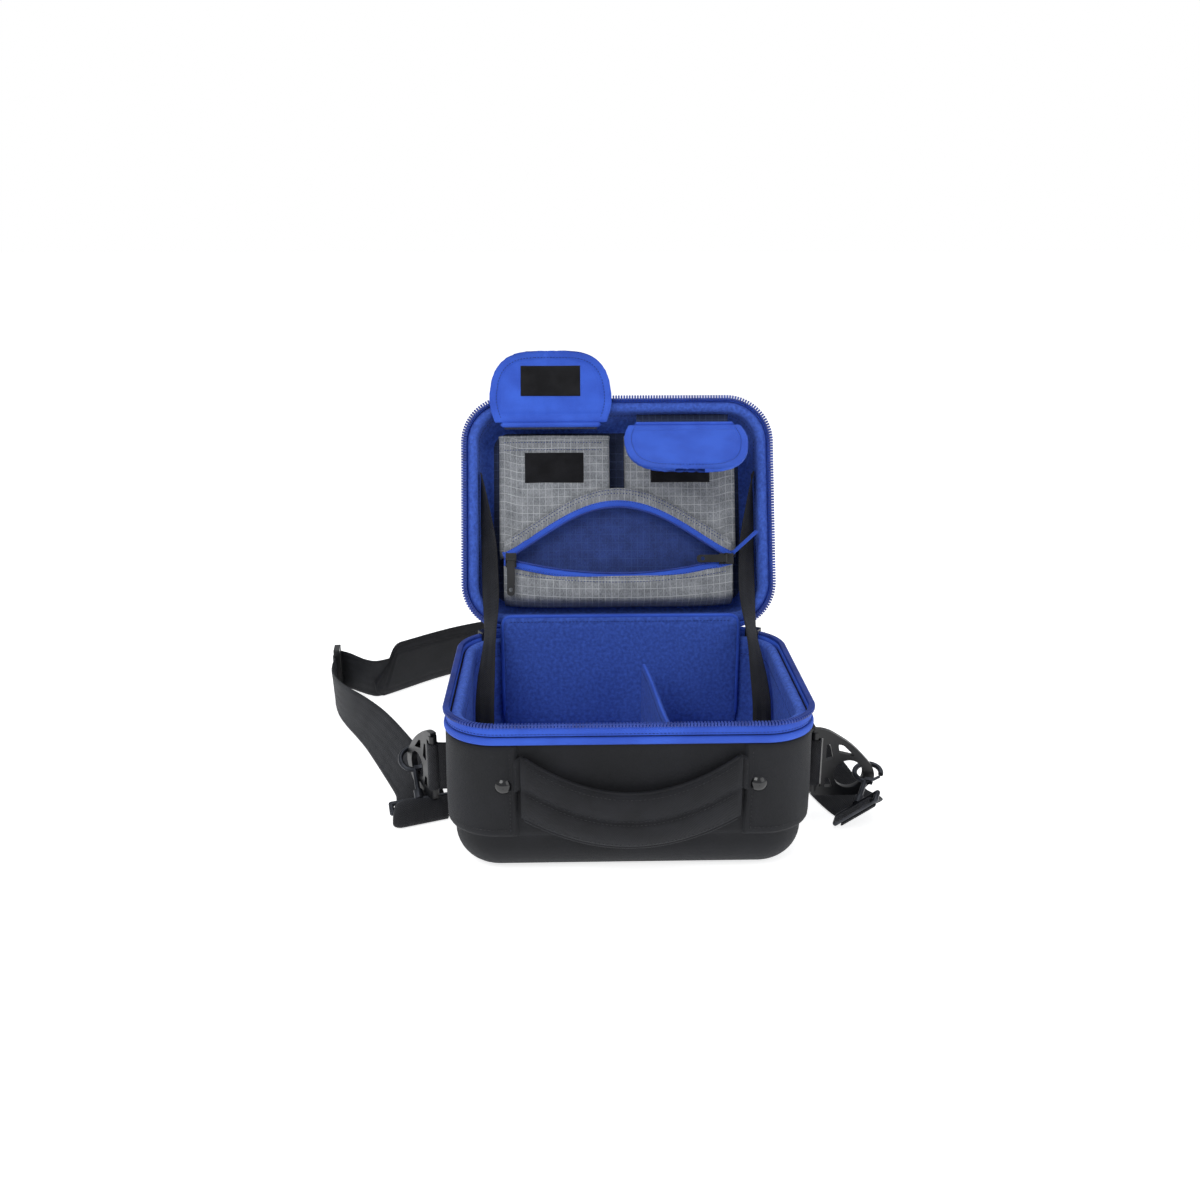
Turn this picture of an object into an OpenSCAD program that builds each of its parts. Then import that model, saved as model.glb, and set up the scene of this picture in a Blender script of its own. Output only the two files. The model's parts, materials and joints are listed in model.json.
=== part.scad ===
// Hard-shell zippered carry case with an open lid, inner pockets and a shoulder strap.
// Origin: centre of the underside. +X right, -Y front (handle side), +Z up.

/* [Case] */
// Width of the case
case_w = 260; // [248:1:290]
// Depth of the case, front to back
case_d = 195; // [186:1:220]
// Radius of the corners seen from above
corner_r = 38; // [36:1:44]
// Height of the zip plane above the underside
base_h = 119; // [114:1:140]
// Height of the closed lid above the zip plane
lid_h = 46; // [45:1:60]
// Angle at which the lid stands open
open_angle = 112; // [100:1:118]

/* [Shell] */
// Thickness of the moulded shell
shell_t = 2.5; // [2:0.1:3]
// Thickness of the foam-backed lining
lining_t = 7; // [6:0.1:8]
// Thickness of the raised side panels
panel_t = 2.4; // [2:0.1:3]
// Inset of the bottom tray from the panels
tray_inset = 5; // [4:0.1:6]
// Radius of the tray's bottom edge
tray_r = 26; // [22:1:28]
// Height of the lower edge of the side panels
panel_z = 33; // [31:1:38]
// Radius of the lid's top edge
lid_r = 24; // [20:1:27]

/* [Rim] */
// Height of the piping round each half
piping_h = 5.2; // [4:0.1:6]
// How far the piping stands proud
piping_out = 0.9; // [0.5:0.1:1.5]
// Height of the zip tape on each half
tape_h = 7.6; // [6:0.1:9]
// Height of the coil on each half
coil_h = 2.4; // [2:0.1:3]
// Width of the coil
coil_w = 3; // [2.4:0.1:3.4]
// Drop of the lining's edge below the zip plane
lining_drop = 9; // [8:0.1:11]

/* [Fabric hinge] */
// Half length of the hinge
hinge_half = 88; // [70:1:89]
// Distance of the hinge axis behind the case
hinge_gap = 1; // [0.8:0.1:1.5]
// Radius of the hinge cord
cord_r = 1.6; // [1.4:0.1:1.8]
// Height of each hinge leaf
leaf_h = 13; // [11:0.5:13]

/* [Front] */
// Half width of the recess between the side panels
recess_half = 78; // [70:1:84]
// Distance of the rivets from the recess edge
rivet_in = 10; // [8:1:14]
// Height of the rivets
rivet_z = 73; // [60:1:84]
// Radius of the rivet heads
rivet_r = 6; // [5:0.5:7]
// Height of the dome of a rivet
rivet_dome = 3; // [2:0.5:4]

/* [Handle] */
// Height of the handle's pivot
handle_z = 92; // [84:1:94]
// Width of the handle band at its ends
handle_end_w = 46; // [36:1:48]
// Width of the handle band in the middle
handle_mid_w = 40; // [30:1:44]
// Sag of the handle's top edge
handle_sag = 28; // [20:1:34]
// Thickness of the padded handle
handle_t = 9; // [8:0.5:14]
// Extra thickness in the middle
handle_swell = 5; // [2:0.5:7]
// Radius of the handle's pivot barrels
handle_pin_r = 2.6; // [2:0.1:3]

/* [Rings and hooks] */
// Distance of a ring's bar from the side of the case
ring_out = 17; // [15:1:22]
// Height of the middle of a ring
ring_z = 43; // [40:1:60]
// Height of a ring
ring_h = 56; // [52:1:60]
// Reach of a ring from its bar
ring_reach = 46; // [42:1:50]
// Thickness of a ring
ring_t = 5; // [4:0.5:6]
// Radius of a ring's bar
bar_r = 3.2; // [2.6:0.1:3.6]
// Height of the webbing loop round the bar
loop_h = 38; // [30:1:40]
// Radius of the wire of the snap hooks
wire_r = 2; // [1.6:0.1:2.2]
// Width inside a hook's webbing frame
frame_w = 40; // [38:1:44]
// Swing of the left ring towards the back
left_swing = 60; // [40:1:66]

/* [Strap] */
// Width of the strap webbing
strap_w = 38; // [30:1:39]
// Thickness of the strap webbing
strap_t = 1.6; // [1.2:0.1:2]
// Width of the shoulder pad
pad_w = 50; // [44:1:56]
// Thickness of the shoulder pad
pad_t = 8; // [6:0.5:10]

/* [Base compartments] */
// Thickness of the padded divider and rear panel
board_t = 5.5; // [4:0.5:6]
// Height of the divider's top edge
divider_z = 104; // [90:1:105]
// Half width of the rear panel
rear_half = 96; // [84:1:97]
// Height of the rear panel's crease
rear_z = 108; // [104:1:110]
// Length of the rear panel's folding top
cover_l = 28; // [20:1:32]

/* [Lid pockets] */
// Depth of the pocket fronts below the zip plane
pocket_d = 15; // [14:1:18]
// Distance of the pocket tops from the hinge
pocket_top = 165; // [158:1:167]
// Distance of the pocket bottoms from the hinge
pocket_low = 62; // [60:1:70]
// Width of each upper pocket
pocket_w = 93; // [85:1:96]
// Half of the space between the upper pockets
pocket_gap = 7; // [5:1:10]
// Thickness of the pocket cloth
cloth_t = 1.4; // [1:0.1:1.6]
// Distance of the zip pocket's bottom from the hinge
pouch_low = 21; // [20:1:24]
// Half width of the zip pocket
pouch_half = 96; // [90:1:98]
// How far the zip pocket bulges out of the lid
pouch_bulge = 3; // [1:0.5:4]
// Distance of the mouth's ends from the hinge
mouth_end = 60; // [56:1:64]
// Sag of the mouth's lower lip
mouth_sag = 14; // [8:1:18]
// Rise of the mouth's upper lip
mouth_rise = 44; // [36:1:48]

/* [Pocket flaps] */
// Distance of the flap creases from the lid's far edge
crease_in = 24.5; // [21:0.5:28]
// Height of the creases above the zip plane of the lid
crease_out = 3.5; // [3.2:0.1:4.5]
// Length of a flap from its crease
flap_l = 63; // [50:1:64]
// Width of a flap
flap_w = 103; // [90:1:106]
// Thickness of a flap
flap_t = 3.6; // [3:0.1:4]
// Angle from straight up at which the right flap rests
right_rest = 139; // [120:1:150]

/* [Hidden] */
crease_v = case_d + hinge_gap - crease_in;

// Clearances: sewn or bonded faces, soft pieces that move, and round running fits
sewn = 0.1;
gap = 0.3;
run = 0.05;

black = "#26272b";
blue = "#2f5bd6";
grey = "#8a8d90";

// Derived places
hinge_y = case_d/2 + hinge_gap;
edge_in = panel_t + sewn;
wall_in = edge_in + shell_t;
room_in = wall_in + sewn + lining_t;
tray_room = tray_inset + shell_t + sewn + lining_t;
tape_z = base_h - coil_h - tape_h;
piping_z = tape_z - piping_h;
ceiling = lid_h - room_in;
centre_in = tray_inset + tray_r;
room_floor = shell_t + sewn + lining_t;
steps = 6;

// ---------- general shapes ----------

// One ring of the case's plan, moved in by s, at height z, counter-clockwise
function plan(s, z) = [
    for (q = [0:3], i = [0:steps])
        let (a = 90*(q + i/steps), r = corner_r - s,
             cx = (q == 0 || q == 3 ? 1 : -1)*(case_w/2 - corner_r),
             cy = (q < 2 ? 1 : -1)*(case_d/2 - corner_r))
        [cx + r*cos(a), cy + r*sin(a), z]
];

// Places along the rim from the right of the back round the front to its left: x, y, angle
function rim_walk(back_x, front_x = -1) = concat(
    [[back_x, case_d/2, 90]],
    [for (q = front_x < 0 ? [0, 3, 2, 1] : [0, 3], i = [0:steps])
        let (a = 90*(q + 1 - i/steps),
             cx = (q == 0 || q == 3 ? 1 : -1)*(case_w/2 - corner_r),
             cy = (q < 2 ? 1 : -1)*(case_d/2 - corner_r))
        [cx + corner_r*cos(a), cy + corner_r*sin(a), a]],
    [front_x < 0 ? [-back_x, case_d/2, 90] : [front_x, -case_d/2, 270]]
);

// Points of an arc as [inset, height]
function arc(cs, cz, r, a0, a1, n) = [
    for (i = [0:n]) let (a = a0 + (a1 - a0)*i/n) [cs - r*cos(a), cz + r*sin(a)]
];

// A polygon with every corner rounded, each by its own radius if r is a list
function bend(p, a, b, r, n) = [
    for (i = [0:n])
        let (t = i/n, u = p + r*(a - p)/norm(a - p), w = p + r*(b - p)/norm(b - p))
        (1 - t)*(1 - t)*u + 2*t*(1 - t)*p + t*t*w
];
function rounded(pts, r, n = 4) = [
    for (k = [0:len(pts) - 1])
        each bend(pts[k], pts[(k + len(pts) - 1) % len(pts)], pts[(k + 1) % len(pts)],
                  is_list(r) ? r[k] : r, n)
];
function box_pts(x0, y0, x1, y1) = [[x0, y0], [x1, y0], [x1, y1], [x0, y1]];

// A solid through rings of points, each counter-clockwise seen from the far end
module through(rings) {
    m = len(rings[0]);
    n = len(rings);
    points = [for (r = rings) each r];
    sides = [
        for (k = [0:n - 2], j = [0:m - 1])
            let (a = k*m + j, b = k*m + (j + 1) % m)
            each [[a, a + m, b + m], [a, b + m, b]]
    ];
    first = [for (j = [0:m - 1]) j];
    last = [for (j = [m - 1:-1:0]) (n - 1)*m + j];
    polyhedron(points = points, faces = concat(sides, [first, last]), convexity = 8);
}

// A shell: a list of [inset, height] from the start cap to the end cap
module shell(profile) {
    through([for (p = profile) plan(p[0], p[1])]);
}

// A section of [inset, height] points swept along places of the rim
module along(walk, section) {
    through([
        for (w = walk) [for (s = section) [w[0] - s[0]*cos(w[2]), w[1] - s[0]*sin(w[2]), s[1]]]
    ]);
}

// An upright slab: an outline in x and v, from depth d0 to d1, in the lid's own frame
module lid_slab(outline, d0, d1) {
    translate([0, 0, d0]) linear_extrude(d1 - d0) mirror([0, 1]) polygon(outline);
}

// From the closed lid's frame (hinge at the origin) to the open lid
module in_lid() {
    translate([0, hinge_y, base_h]) rotate([-open_angle, 0, 0]) children();
}

// ---------- base ----------

module base_shell() {
    outer = concat(
        arc(centre_in, tray_r, tray_r, 270, 360, 5),
        [[tray_inset + 0.6, panel_z - 2], [edge_in, panel_z + 5], [edge_in, tape_z + tape_h/2]]
    );
    inner = concat(
        [[wall_in, tape_z + tape_h/2], [wall_in, panel_z + 6], [tray_inset + shell_t, panel_z - 1]],
        arc(centre_in, tray_r, tray_r - shell_t, 360, 270, 5)
    );
    color(black) shell(concat(outer, inner));
}

module base_lining() {
    top = base_h - lining_drop;
    in0 = wall_in + sewn;
    tray0 = tray_inset + shell_t + sewn;
    r0 = tray_r - shell_t - sewn;
    color(blue) shell(concat(
        arc(centre_in, tray_r, r0, 270, 360, 5),
        [[tray0, panel_z - 1], [in0, panel_z + 6], [in0, top - 2], [in0 + lining_t*0.25, top]],
        [[room_in - lining_t*0.25, top], [room_in, top - 2], [room_in, panel_z + 7]],
        [[tray_room, panel_z]],
        arc(centre_in, tray_r, r0 - lining_t, 360, 270, 5)
    ));
}

// Piping, tape and coil of the base; the lid's are the same turned over
function piping_section() = [
    [edge_in - sewn, piping_z + sewn], [0, piping_z + sewn], [-piping_out, piping_z + piping_h/2],
    [0, piping_z + piping_h - sewn], [edge_in - sewn, piping_z + piping_h - sewn]
];
function tape_section() = [
    [edge_in - sewn, tape_z], [edge_in - sewn - 1.4, tape_z],
    [edge_in - sewn - 1.4, base_h - coil_h - sewn], [edge_in - sewn, base_h - coil_h - sewn]
];
function coil_section() = [
    [edge_in - 2 + coil_w, base_h - coil_h], [edge_in - 2, base_h - coil_h],
    [edge_in - 2, base_h - sewn - 0.5], [edge_in - 1.5, base_h - sewn],
    [edge_in - 2.5 + coil_w, base_h - sewn], [edge_in - 2 + coil_w, base_h - sewn - 0.5]
];

// The tape ends beside the hinge, the coil before the sliders
zip_end = hinge_half + 2;
function coil_walk() = [for (w = rim_walk(zip_end)) if (w[1] < case_d/2 - 8) w];

module base_piping() {
    color(blue) along(rim_walk(zip_end), piping_section());
}
module base_zip_tape() {
    color(blue) along(rim_walk(zip_end), tape_section());
}
module base_zip_coil() {
    color(blue) along(coil_walk(), coil_section());
}

module hinge_web_base() {
    top = base_h - cord_r - 0.2;
    color(blue) rotate([90, 0, 90]) translate([0, 0, -hinge_half]) linear_extrude(2*hinge_half) {
        polygon(box_pts(case_d/2 - edge_in + sewn, top - leaf_h, hinge_y, top + 0.8));
        translate([hinge_y, base_h]) circle(r = cord_r, $fn = 24);
    }
}

module side_panel() {
    color(black) along(rim_walk(recess_half, recess_half), [
        [panel_t, panel_z + 5], [tray_inset - 1.2, panel_z + 0.5], [tray_inset - 2.4, panel_z],
        [1, panel_z + 3], [0, panel_z + 9], [0, piping_z - 1.5], [1, piping_z], [panel_t, piping_z]
    ]);
}
module side_panel_right() {
    side_panel();
}
module side_panel_left() {
    mirror([1, 0, 0]) side_panel();
}

// Domed heads on the side panels
module rivets() {
    dome_r = (rivet_r*rivet_r + rivet_dome*rivet_dome)/(2*rivet_dome);
    color(black) for (s = [-1, 1])
        translate([s*(recess_half + rivet_in), -case_d/2, rivet_z]) rotate([90, 0, 0])
            rotate_extrude($fn = 32) intersection() {
                translate([0, rivet_dome - dome_r]) circle(r = dome_r, $fn = 64);
                square([rivet_r, rivet_dome]);
            }
}

// The padded handle hangs on a barrel at each end, clear of the shell's front
handle_y = -(case_d/2 - edge_in) - handle_t/2 - 0.5;
handle_half = recess_half - 2;

module handle_anchors() {
    barrel_l = recess_half - handle_half + 12;
    color(black) for (s = [0, 1]) mirror([s, 0, 0]) {
        translate([handle_half - 12, handle_y, handle_z]) rotate([0, 90, 0])
            cylinder(r = handle_pin_r, h = barrel_l, $fn = 32);
        translate([recess_half + sewn, handle_y - handle_pin_r, handle_z - 6])
            cube([4, -case_d/2 - sewn - handle_y + handle_pin_r, 12]);
    }
}

module handle() {
    count = 17;
    turn = 14;
    color(black) difference() {
        through([
            for (i = [0:count - 1])
                let (x = -handle_half + 2*handle_half*i/(count - 1), k = 1 - pow(x/handle_half, 2),
                     top = handle_z + handle_t/2 - handle_sag*k,
                     w = handle_end_w + (handle_mid_w - handle_end_w)*k,
                     t = handle_t/2 + handle_swell*k/2)
                [for (j = [0:turn - 1])
                    let (a = 360*j/turn, c = cos(a), s = sin(a))
                    [x, handle_y - handle_swell*k/2 + t*sign(c)*pow(abs(c), 0.8),
                     top - w/2 + w/2*sign(s)*pow(abs(s), 0.6)]]
        ]);
        for (s = [-1, 1])
            translate([s*handle_half, handle_y, handle_z]) rotate([0, 90, 0])
                cylinder(r = handle_pin_r + run, h = 26, center = true, $fn = 32);
    }
}

module board(outline, t) {
    translate([-t/2, 0, 0]) rotate([90, 0, 90]) linear_extrude(t) polygon(outline);
}

rear_y = case_d/2 - room_in - 0.8;

module rear_panel() {
    low = panel_z + 9;
    color(blue) translate([-rear_half, rear_y - board_t, low])
        cube([2*rear_half, board_t, rear_z - low - board_t/2 - gap]);
}

// The folding top of the rear panel turns on a crease at rear_z
module cover_flap() {
    color(blue) {
        translate([-rear_half, rear_y - board_t/2, rear_z]) rotate([0, 90, 0])
            cylinder(r = board_t/2, h = 2*rear_half, $fn = 24);
        translate([0, rear_y, rear_z]) rotate([90, 0, 0]) linear_extrude(board_t)
            polygon(rounded(box_pts(-rear_half, 0, rear_half, cover_l), [0.1, 0.1, 6, 6]));
    }
}

// The padded divider stands across the base, a little askew
divider_x = [30, 17];
divider_y = [-(case_d/2 - room_in - gap - 0.2), 58];

module divider() {
    low = room_floor + gap;
    yf = divider_y[0];
    r = tray_r - shell_t - sewn - lining_t - gap - 0.3;
    askew = atan2(divider_x[1] - divider_x[0], divider_y[1] - yf);
    yc = -(case_d/2 - centre_in);
    front = concat(
        [for (i = [0:5]) let (a = 15*i) [yc - r*sin(a), tray_r - r*cos(a)]],
        [[-(case_d/2 - tray_room - gap), panel_z], [yf, panel_z + 8], [yf, divider_z - 2]],
        [[yf + 2, divider_z], [divider_y[1] - 6, divider_z], [divider_y[1], divider_z - 6]],
        [[divider_y[1], low]]
    );
    color(blue) translate([divider_x[0], yf, 0]) rotate([0, 0, -askew]) translate([0, -yf, 0])
        board(front, board_t - 1);
}

// The main zip's sliders wait near the two ends of the zip, at the back corners
slider_a = 60;
pull_in = corner_r + 5;
pull_z = base_h - 5;
pin_r = 1.2;

// A corner's own frame: X away from the corner's centre, Y along the rim
module at_slider() {
    translate([case_w/2 - corner_r, case_d/2 - corner_r, 0]) rotate([0, 0, slider_a]) children();
}

module zip_sliders() {
    face = corner_r + piping_out + gap;
    inner = corner_r - 6;
    color(black) for (s = [0, 1]) mirror([s, 0, 0]) at_slider() difference() {
        union() {
            translate([inner, -5.5, base_h + sewn]) cube([face + 1.8 - inner, 11, 2.2]);
            translate([inner, -5.5, base_h - 6]) cube([2, 11, 7]);
            translate([face, -5.5, base_h - 9]) cube([1.8, 11, 10]);
            for (y = [-5.5, 4.2]) translate([face + 1, y, pull_z - 2]) cube([pull_in + 2 - face - 1, 1.3, 4]);
        }
        translate([pull_in, 0, pull_z]) rotate([90, 0, 0])
            cylinder(r = pin_r + run, h = 20, center = true, $fn = 24);
    }
}
module zip_pull() {
    color(black) at_slider() translate([pull_in, 0, pull_z]) {
        rotate([90, 0, 0]) cylinder(r = pin_r, h = 10.8, center = true, $fn = 24);
        difference() {
            translate([-0.8, 0, 0]) rotate([90, 0, 90]) linear_extrude(1.6)
                polygon(rounded(box_pts(-3.8, -20, 3.8, 0.8), [3, 3, 0.5, 0.5]));
            translate([0, 0, -15]) rotate([0, 90, 0])
                cylinder(r = 1.8, h = 10, center = true, $fn = 24);
        }
    }
}
module zip_pull_right() {
    zip_pull();
}
module zip_pull_left() {
    mirror([1, 0, 0]) zip_pull();
}

// ---------- rings, hooks and strap ----------

ring_x = case_w/2 + ring_out;

// Webbing sewn to the side panel and folded round the ring's bar
module ring_loop() {
    eye_r = bar_r + run;
    color(black) translate([0, 0, ring_z - loop_h/2]) linear_extrude(loop_h) difference() {
        union() {
            translate([ring_x, 0]) circle(r = eye_r + strap_t, $fn = 32);
            translate([case_w/2 + sewn, -strap_t]) square([ring_out - eye_r, 2*strap_t]);
            translate([case_w/2 + sewn, -14]) square([strap_t, 28]);
        }
        translate([ring_x, 0]) circle(r = eye_r, $fn = 32);
    }
}
module ring_loop_right() {
    ring_loop();
}
module ring_loop_left() {
    mirror([1, 0, 0]) ring_loop();
}

// A moulded ring in its own frame: bar along Z at the origin, plate towards +X
hole_at = [27, -10];
hole_r = 11.5;

module ring() {
    top = ring_h/2;
    slot = loop_h/2 + 1.5;
    clear = bar_r + strap_t + 1;
    color(black) {
        cylinder(r = bar_r, h = ring_h - 6, center = true, $fn = 32);
        rotate([90, 0, 0]) linear_extrude(ring_t, center = true) difference() {
            polygon(rounded([
                [-bar_r/2, -top], [36, -top], [ring_reach + 2, -14], [ring_reach, -4],
                [30, 14], [8, top], [-bar_r/2, top]
            ], [1, 5, 4, 5, 10, 8, 1]));
            polygon(box_pts(-bar_r - 1, -slot, clear, slot));
            translate(hole_at) circle(r = hole_r, $fn = 32);
            polygon(rounded([[clear + 3, 1], [clear + 9, 3], [clear + 6, 15], [clear + 3, 15]], 1));
            polygon(rounded([[19, 8], [31, 5], [22, 14], [18, 15]], 1));
            polygon(rounded([[clear + 3, -21], [clear + 9, -21], [clear + 6, -13], [clear + 3, -13]], 1));
        }
    }
}
module ring_right() {
    translate([ring_x, 0, ring_z]) ring();
}
module ring_left() {
    translate([-ring_x, 0, ring_z]) rotate([0, 0, 180 - left_swing]) ring();
}

// Snap hook in its own frame: webbing bar along X at the origin, eye centred on +Z
hook_l = 45;
eye_r = 10;
frame_d = 8;

module hook_frame() {
    side = frame_w/2 + wire_r;
    for (z = [0, frame_d]) translate([0, 0, z]) rotate([0, 90, 0])
        cylinder(r = wire_r, h = 2*side, center = true, $fn = 24);
    for (x = [-side, side]) {
        translate([x, 0, 0]) cylinder(r = wire_r, h = frame_d, $fn = 24);
        for (z = [0, frame_d]) translate([x, 0, z]) sphere(r = wire_r, $fn = 24);
    }
    translate([0, 0, frame_d]) cylinder(r = 3.6, h = 8, $fn = 32);
}

// The curl runs three quarters of the way round the eye, from the swivelling shank
module hook_eye() {
    translate([0, 0, frame_d + 7]) cylinder(r = wire_r, h = hook_l - eye_r - frame_d - 7, $fn = 24);
    translate([0, 0, hook_l]) rotate([90, 0, 90]) rotate([0, 0, -90 - 268])
        rotate_extrude(angle = 268, $fn = 48)
            translate([eye_r, 0]) circle(r = wire_r, $fn = 24);
    difference() {
        for (x = [-2.2, 1.3]) translate([x, -0.5, gate_foot[2] - 1.6]) cube([0.9, 6.2, 3.2]);
        translate(gate_foot) rotate([0, 90, 0])
            cylinder(r = gate_pin_r + run, h = 20, center = true, $fn = 24);
    }
}

// The sprung gate closes the curl's open quarter, pinned between ears near the shank
gate_r = 1.1;
gate_pin_r = 0.8;
gate_foot = [0, eye_r*cos(66), hook_l - eye_r*sin(66)];
module gate_pin() {
    translate(gate_foot) rotate([0, 90, 0])
        cylinder(r = gate_pin_r, h = 4.4, center = true, $fn = 24);
    tip = [0, eye_r*cos(14), hook_l - eye_r*sin(14)];
    way = tip - gate_foot;
    translate(gate_foot) rotate([-atan2(way[1], way[2]), 0, 0])
        cylinder(r = gate_r, h = norm(way), $fn = 24);
}

function unit(v) = v/norm(v);

// Puts a hook's own frame at p, its Z along up and its X as near to bar as it can be
module aimed(p, bar, up) {
    z = unit(up);
    y = unit(cross(z, bar));
    x = cross(y, z);
    multmatrix([
        [x[0], y[0], z[0], p[0]], [x[1], y[1], z[1], p[1]], [x[2], y[2], z[2], p[2]], [0, 0, 0, 1]
    ]) children();
}

// Middle of a ring's outer band, where the hook's eye goes round it
band_at = [(hole_at[0] + hole_r + ring_reach)/2 + 0.4, hole_at[1]];
eye_right = [ring_x + band_at[0], 0, ring_z + band_at[1]];
band_left = band_at[0] - 1.5;
eye_left = [
    -ring_x - band_left*cos(left_swing), band_left*sin(left_swing), ring_z + band_at[1] - 0.4
];
up_right = unit([0.4, 0.866, 0.3]);
up_left = unit([-9.1, 36.4, 26.6]);
bar_right = [0.6, -0.1, 0.7];
bar_left = [0.955, 0.125, 0.035];
hook_at_right = eye_right - hook_l*up_right;
hook_at_left = eye_left - hook_l*up_left;

module hook(at, bar, up) {
    color("#3c4048") {
        aimed(at, bar, up) hook_frame();
        aimed(at, [0, 0, 1], up) hook_eye();
    }
}
module hook_right() {
    hook(hook_at_right, bar_right, up_right);
}
module gate_right() {
    color("#50545c") aimed(hook_at_right, [0, 0, 1], up_right) gate_pin();
}
module hook_left() {
    hook(hook_at_left, bar_left, up_left);
}
module gate_left() {
    color("#50545c") aimed(hook_at_left, [0, 0, 1], up_left) gate_pin();
}

// Flat webbing through places [lower edge, direction of its width]
module ribbon(route, w, t) {
    n = len(route);
    through([
        for (i = [0:n - 1])
            let (a = route[max(i - 1, 0)][0], b = route[min(i + 1, n - 1)][0], p = route[i][0],
                 up = unit(route[i][1]), out = unit(cross(up, b - a)))
            [p + out*t/2, p + out*t/2 + up*w, p - out*t/2 + up*w, p - out*t/2]
    ]);
}

// Places on the floor as [x, y, lean]: lean tips the webbing's top to the right of travel
floor_gap = 0.2;
function standing(route, t) = [
    for (i = [0:len(route) - 1])
        let (a = route[max(i - 1, 0)], b = route[min(i + 1, len(route) - 1)],
             d = unit([b[0] - a[0], b[1] - a[1]]), lean = route[i][2])
        [[route[i][0], route[i][1], floor_gap + t/2*abs(sin(lean))],
         [d[1]*sin(lean), -d[0]*sin(lean), cos(lean)]]
];

// Places of the strap's lower edge, from the left hook round the back to the right hook
left_route = [
    [-183, 34.3, 52], [-190, 52, 46], [-200, 76, 40], [-211, 102, 34], [-222, 127, 26],
    [-234, 151, 16], [-246, 174, 6], [-256, 196, 0], [-263, 218, -3], [-267, 238, -2], [-269, 254, 0]
];
lead_route = [[-266, 273.6, 0], [-257, 267, 0], [-247, 258, 2], [-238, 250, 4], [-233, 245.9, 5]];
pad_route = [
    [-230, 243, 5], [-218, 254, 6], [-202, 270, 7], [-182, 290, 8], [-160, 308, 8],
    [-136, 323, 8], [-110, 335, 8], [-82, 343, 7], [-62, 346, 6]
];
rear_route = [
    [-61.5, 346, 6], [-30, 348, 4], [0, 346, 2], [34, 338, 0], [68, 324, 0], [98, 303, -2],
    [122, 276, -4], [139, 245, -6], [149, 210, -8], [153, 175, -10], [153, 140, -14],
    [151, 105, -20], [149, 75, -28]
];
right_end_route = [
    [148.9, 74.5, -28], [148, 54, -42], [150.5, 33, -58], [155, 14, -71], [160, -2, -73]
];

// The ends twist off the floor to the hooks' bars: places [lower edge, direction of width]
function bar_axis(bar, up) = unit(cross(unit(cross(up, bar)), up));
function far_side(bar, up) = unit(cross(up, bar));
away = wire_r + gap + strap_t/2;
b_right = bar_axis(bar_right, up_right);
b_left = bar_axis(bar_left, up_left);
right_end = concat(standing(right_end_route, strap_t), [
    [[ring_x + 18, -14, 0.8], [0.86, -0.12, 0.5]],
    [[ring_x + 17.6, -22, 2.4], [0.7, -0.3, 0.64]],
    [hook_at_right - strap_w/2*b_right + away*far_side(bar_right, up_right), b_right]
]);
left_end = [
    [hook_at_left - strap_w/2*b_left - away*far_side(bar_left, up_left), b_left],
    [[-177.4, 6, 2.2], [0.965, 0.2, 0.15]], [[-179, 15, 0.9], [0.9, 0.24, 0.36]],
    [[-181, 25, 0.9], [0.82, 0.27, 0.5]], [[-182.8, 33.8, 0.85], [0.733, 0.284, 0.616]]
];

// Webbing that ends in a fold round a hook's bar
module webbing_end(route, p, bar, up) {
    color(black) difference() {
        union() {
            ribbon(route, strap_w, strap_t);
            aimed(p, bar, up) rotate([0, 90, 0])
                cylinder(r = wire_r + gap + strap_t, h = strap_w, center = true, $fn = 24);
        }
        aimed(p, bar, up) rotate([0, 90, 0])
            cylinder(r = wire_r + gap, h = strap_w + 20, center = true, $fn = 24);
    }
}

module strap_left() {
    color(black) ribbon(standing(left_route, strap_t), strap_w, strap_t);
}
module strap_lead() {
    color(black) ribbon(standing(lead_route, strap_t), strap_w, strap_t);
}
module strap_rear() {
    color(black) ribbon(standing(rear_route, strap_t), strap_w, strap_t);
}
module strap_end_left() {
    webbing_end(left_end, hook_at_left, bar_left, up_left);
}
module strap_end_right() {
    webbing_end(right_end, hook_at_right, bar_right, up_right);
}
module shoulder_pad() {
    color(black) ribbon(standing(pad_route, pad_t), pad_w, pad_t);
}

// Three-bar slide at the turn of the strap
module strap_adjuster() {
    at = left_route[len(left_route) - 1];
    color(black) translate([at[0] + 1.4, at[1] + 9.7, 0]) rotate([0, 0, 6]) difference() {
        translate([-4, -9, 0.1]) cube([6, 18, strap_w + 7]);
        for (y = [-4, 4]) translate([-10, y - 2.4, 4]) cube([20, 4.8, strap_w]);
    }
}

// ---------- lid, in its closed frame with the hinge at the origin ----------

module lid_plan() {
    in_lid() translate([0, -hinge_y, 0]) children();
}

module lid_shell() {
    side = lid_h - lid_r;
    edge = coil_h + tape_h/2;
    lip = coil_h + tape_h + piping_h;
    color(black) lid_plan() shell(concat(
        arc(lid_r, side, lid_r - wall_in, 90, 0, 4),
        [[wall_in, edge], [edge_in, edge], [edge_in, lip + 0.4], [0, lip + 1]],
        arc(lid_r, side, lid_r, 0, 90, 5)
    ));
}

module lid_lining() {
    side = lid_h - lid_r;
    r0 = lid_r - wall_in - sewn;
    in0 = wall_in + sewn;
    color(blue) lid_plan() shell(concat(
        arc(lid_r, side, r0 - lining_t, 90, 0, 4),
        [[room_in, lining_drop + 2], [room_in - lining_t*0.25, lining_drop]],
        [[in0 + lining_t*0.25, lining_drop], [in0, lining_drop + 2]],
        arc(lid_r, side, r0, 0, 90, 4)
    ));
}

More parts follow.
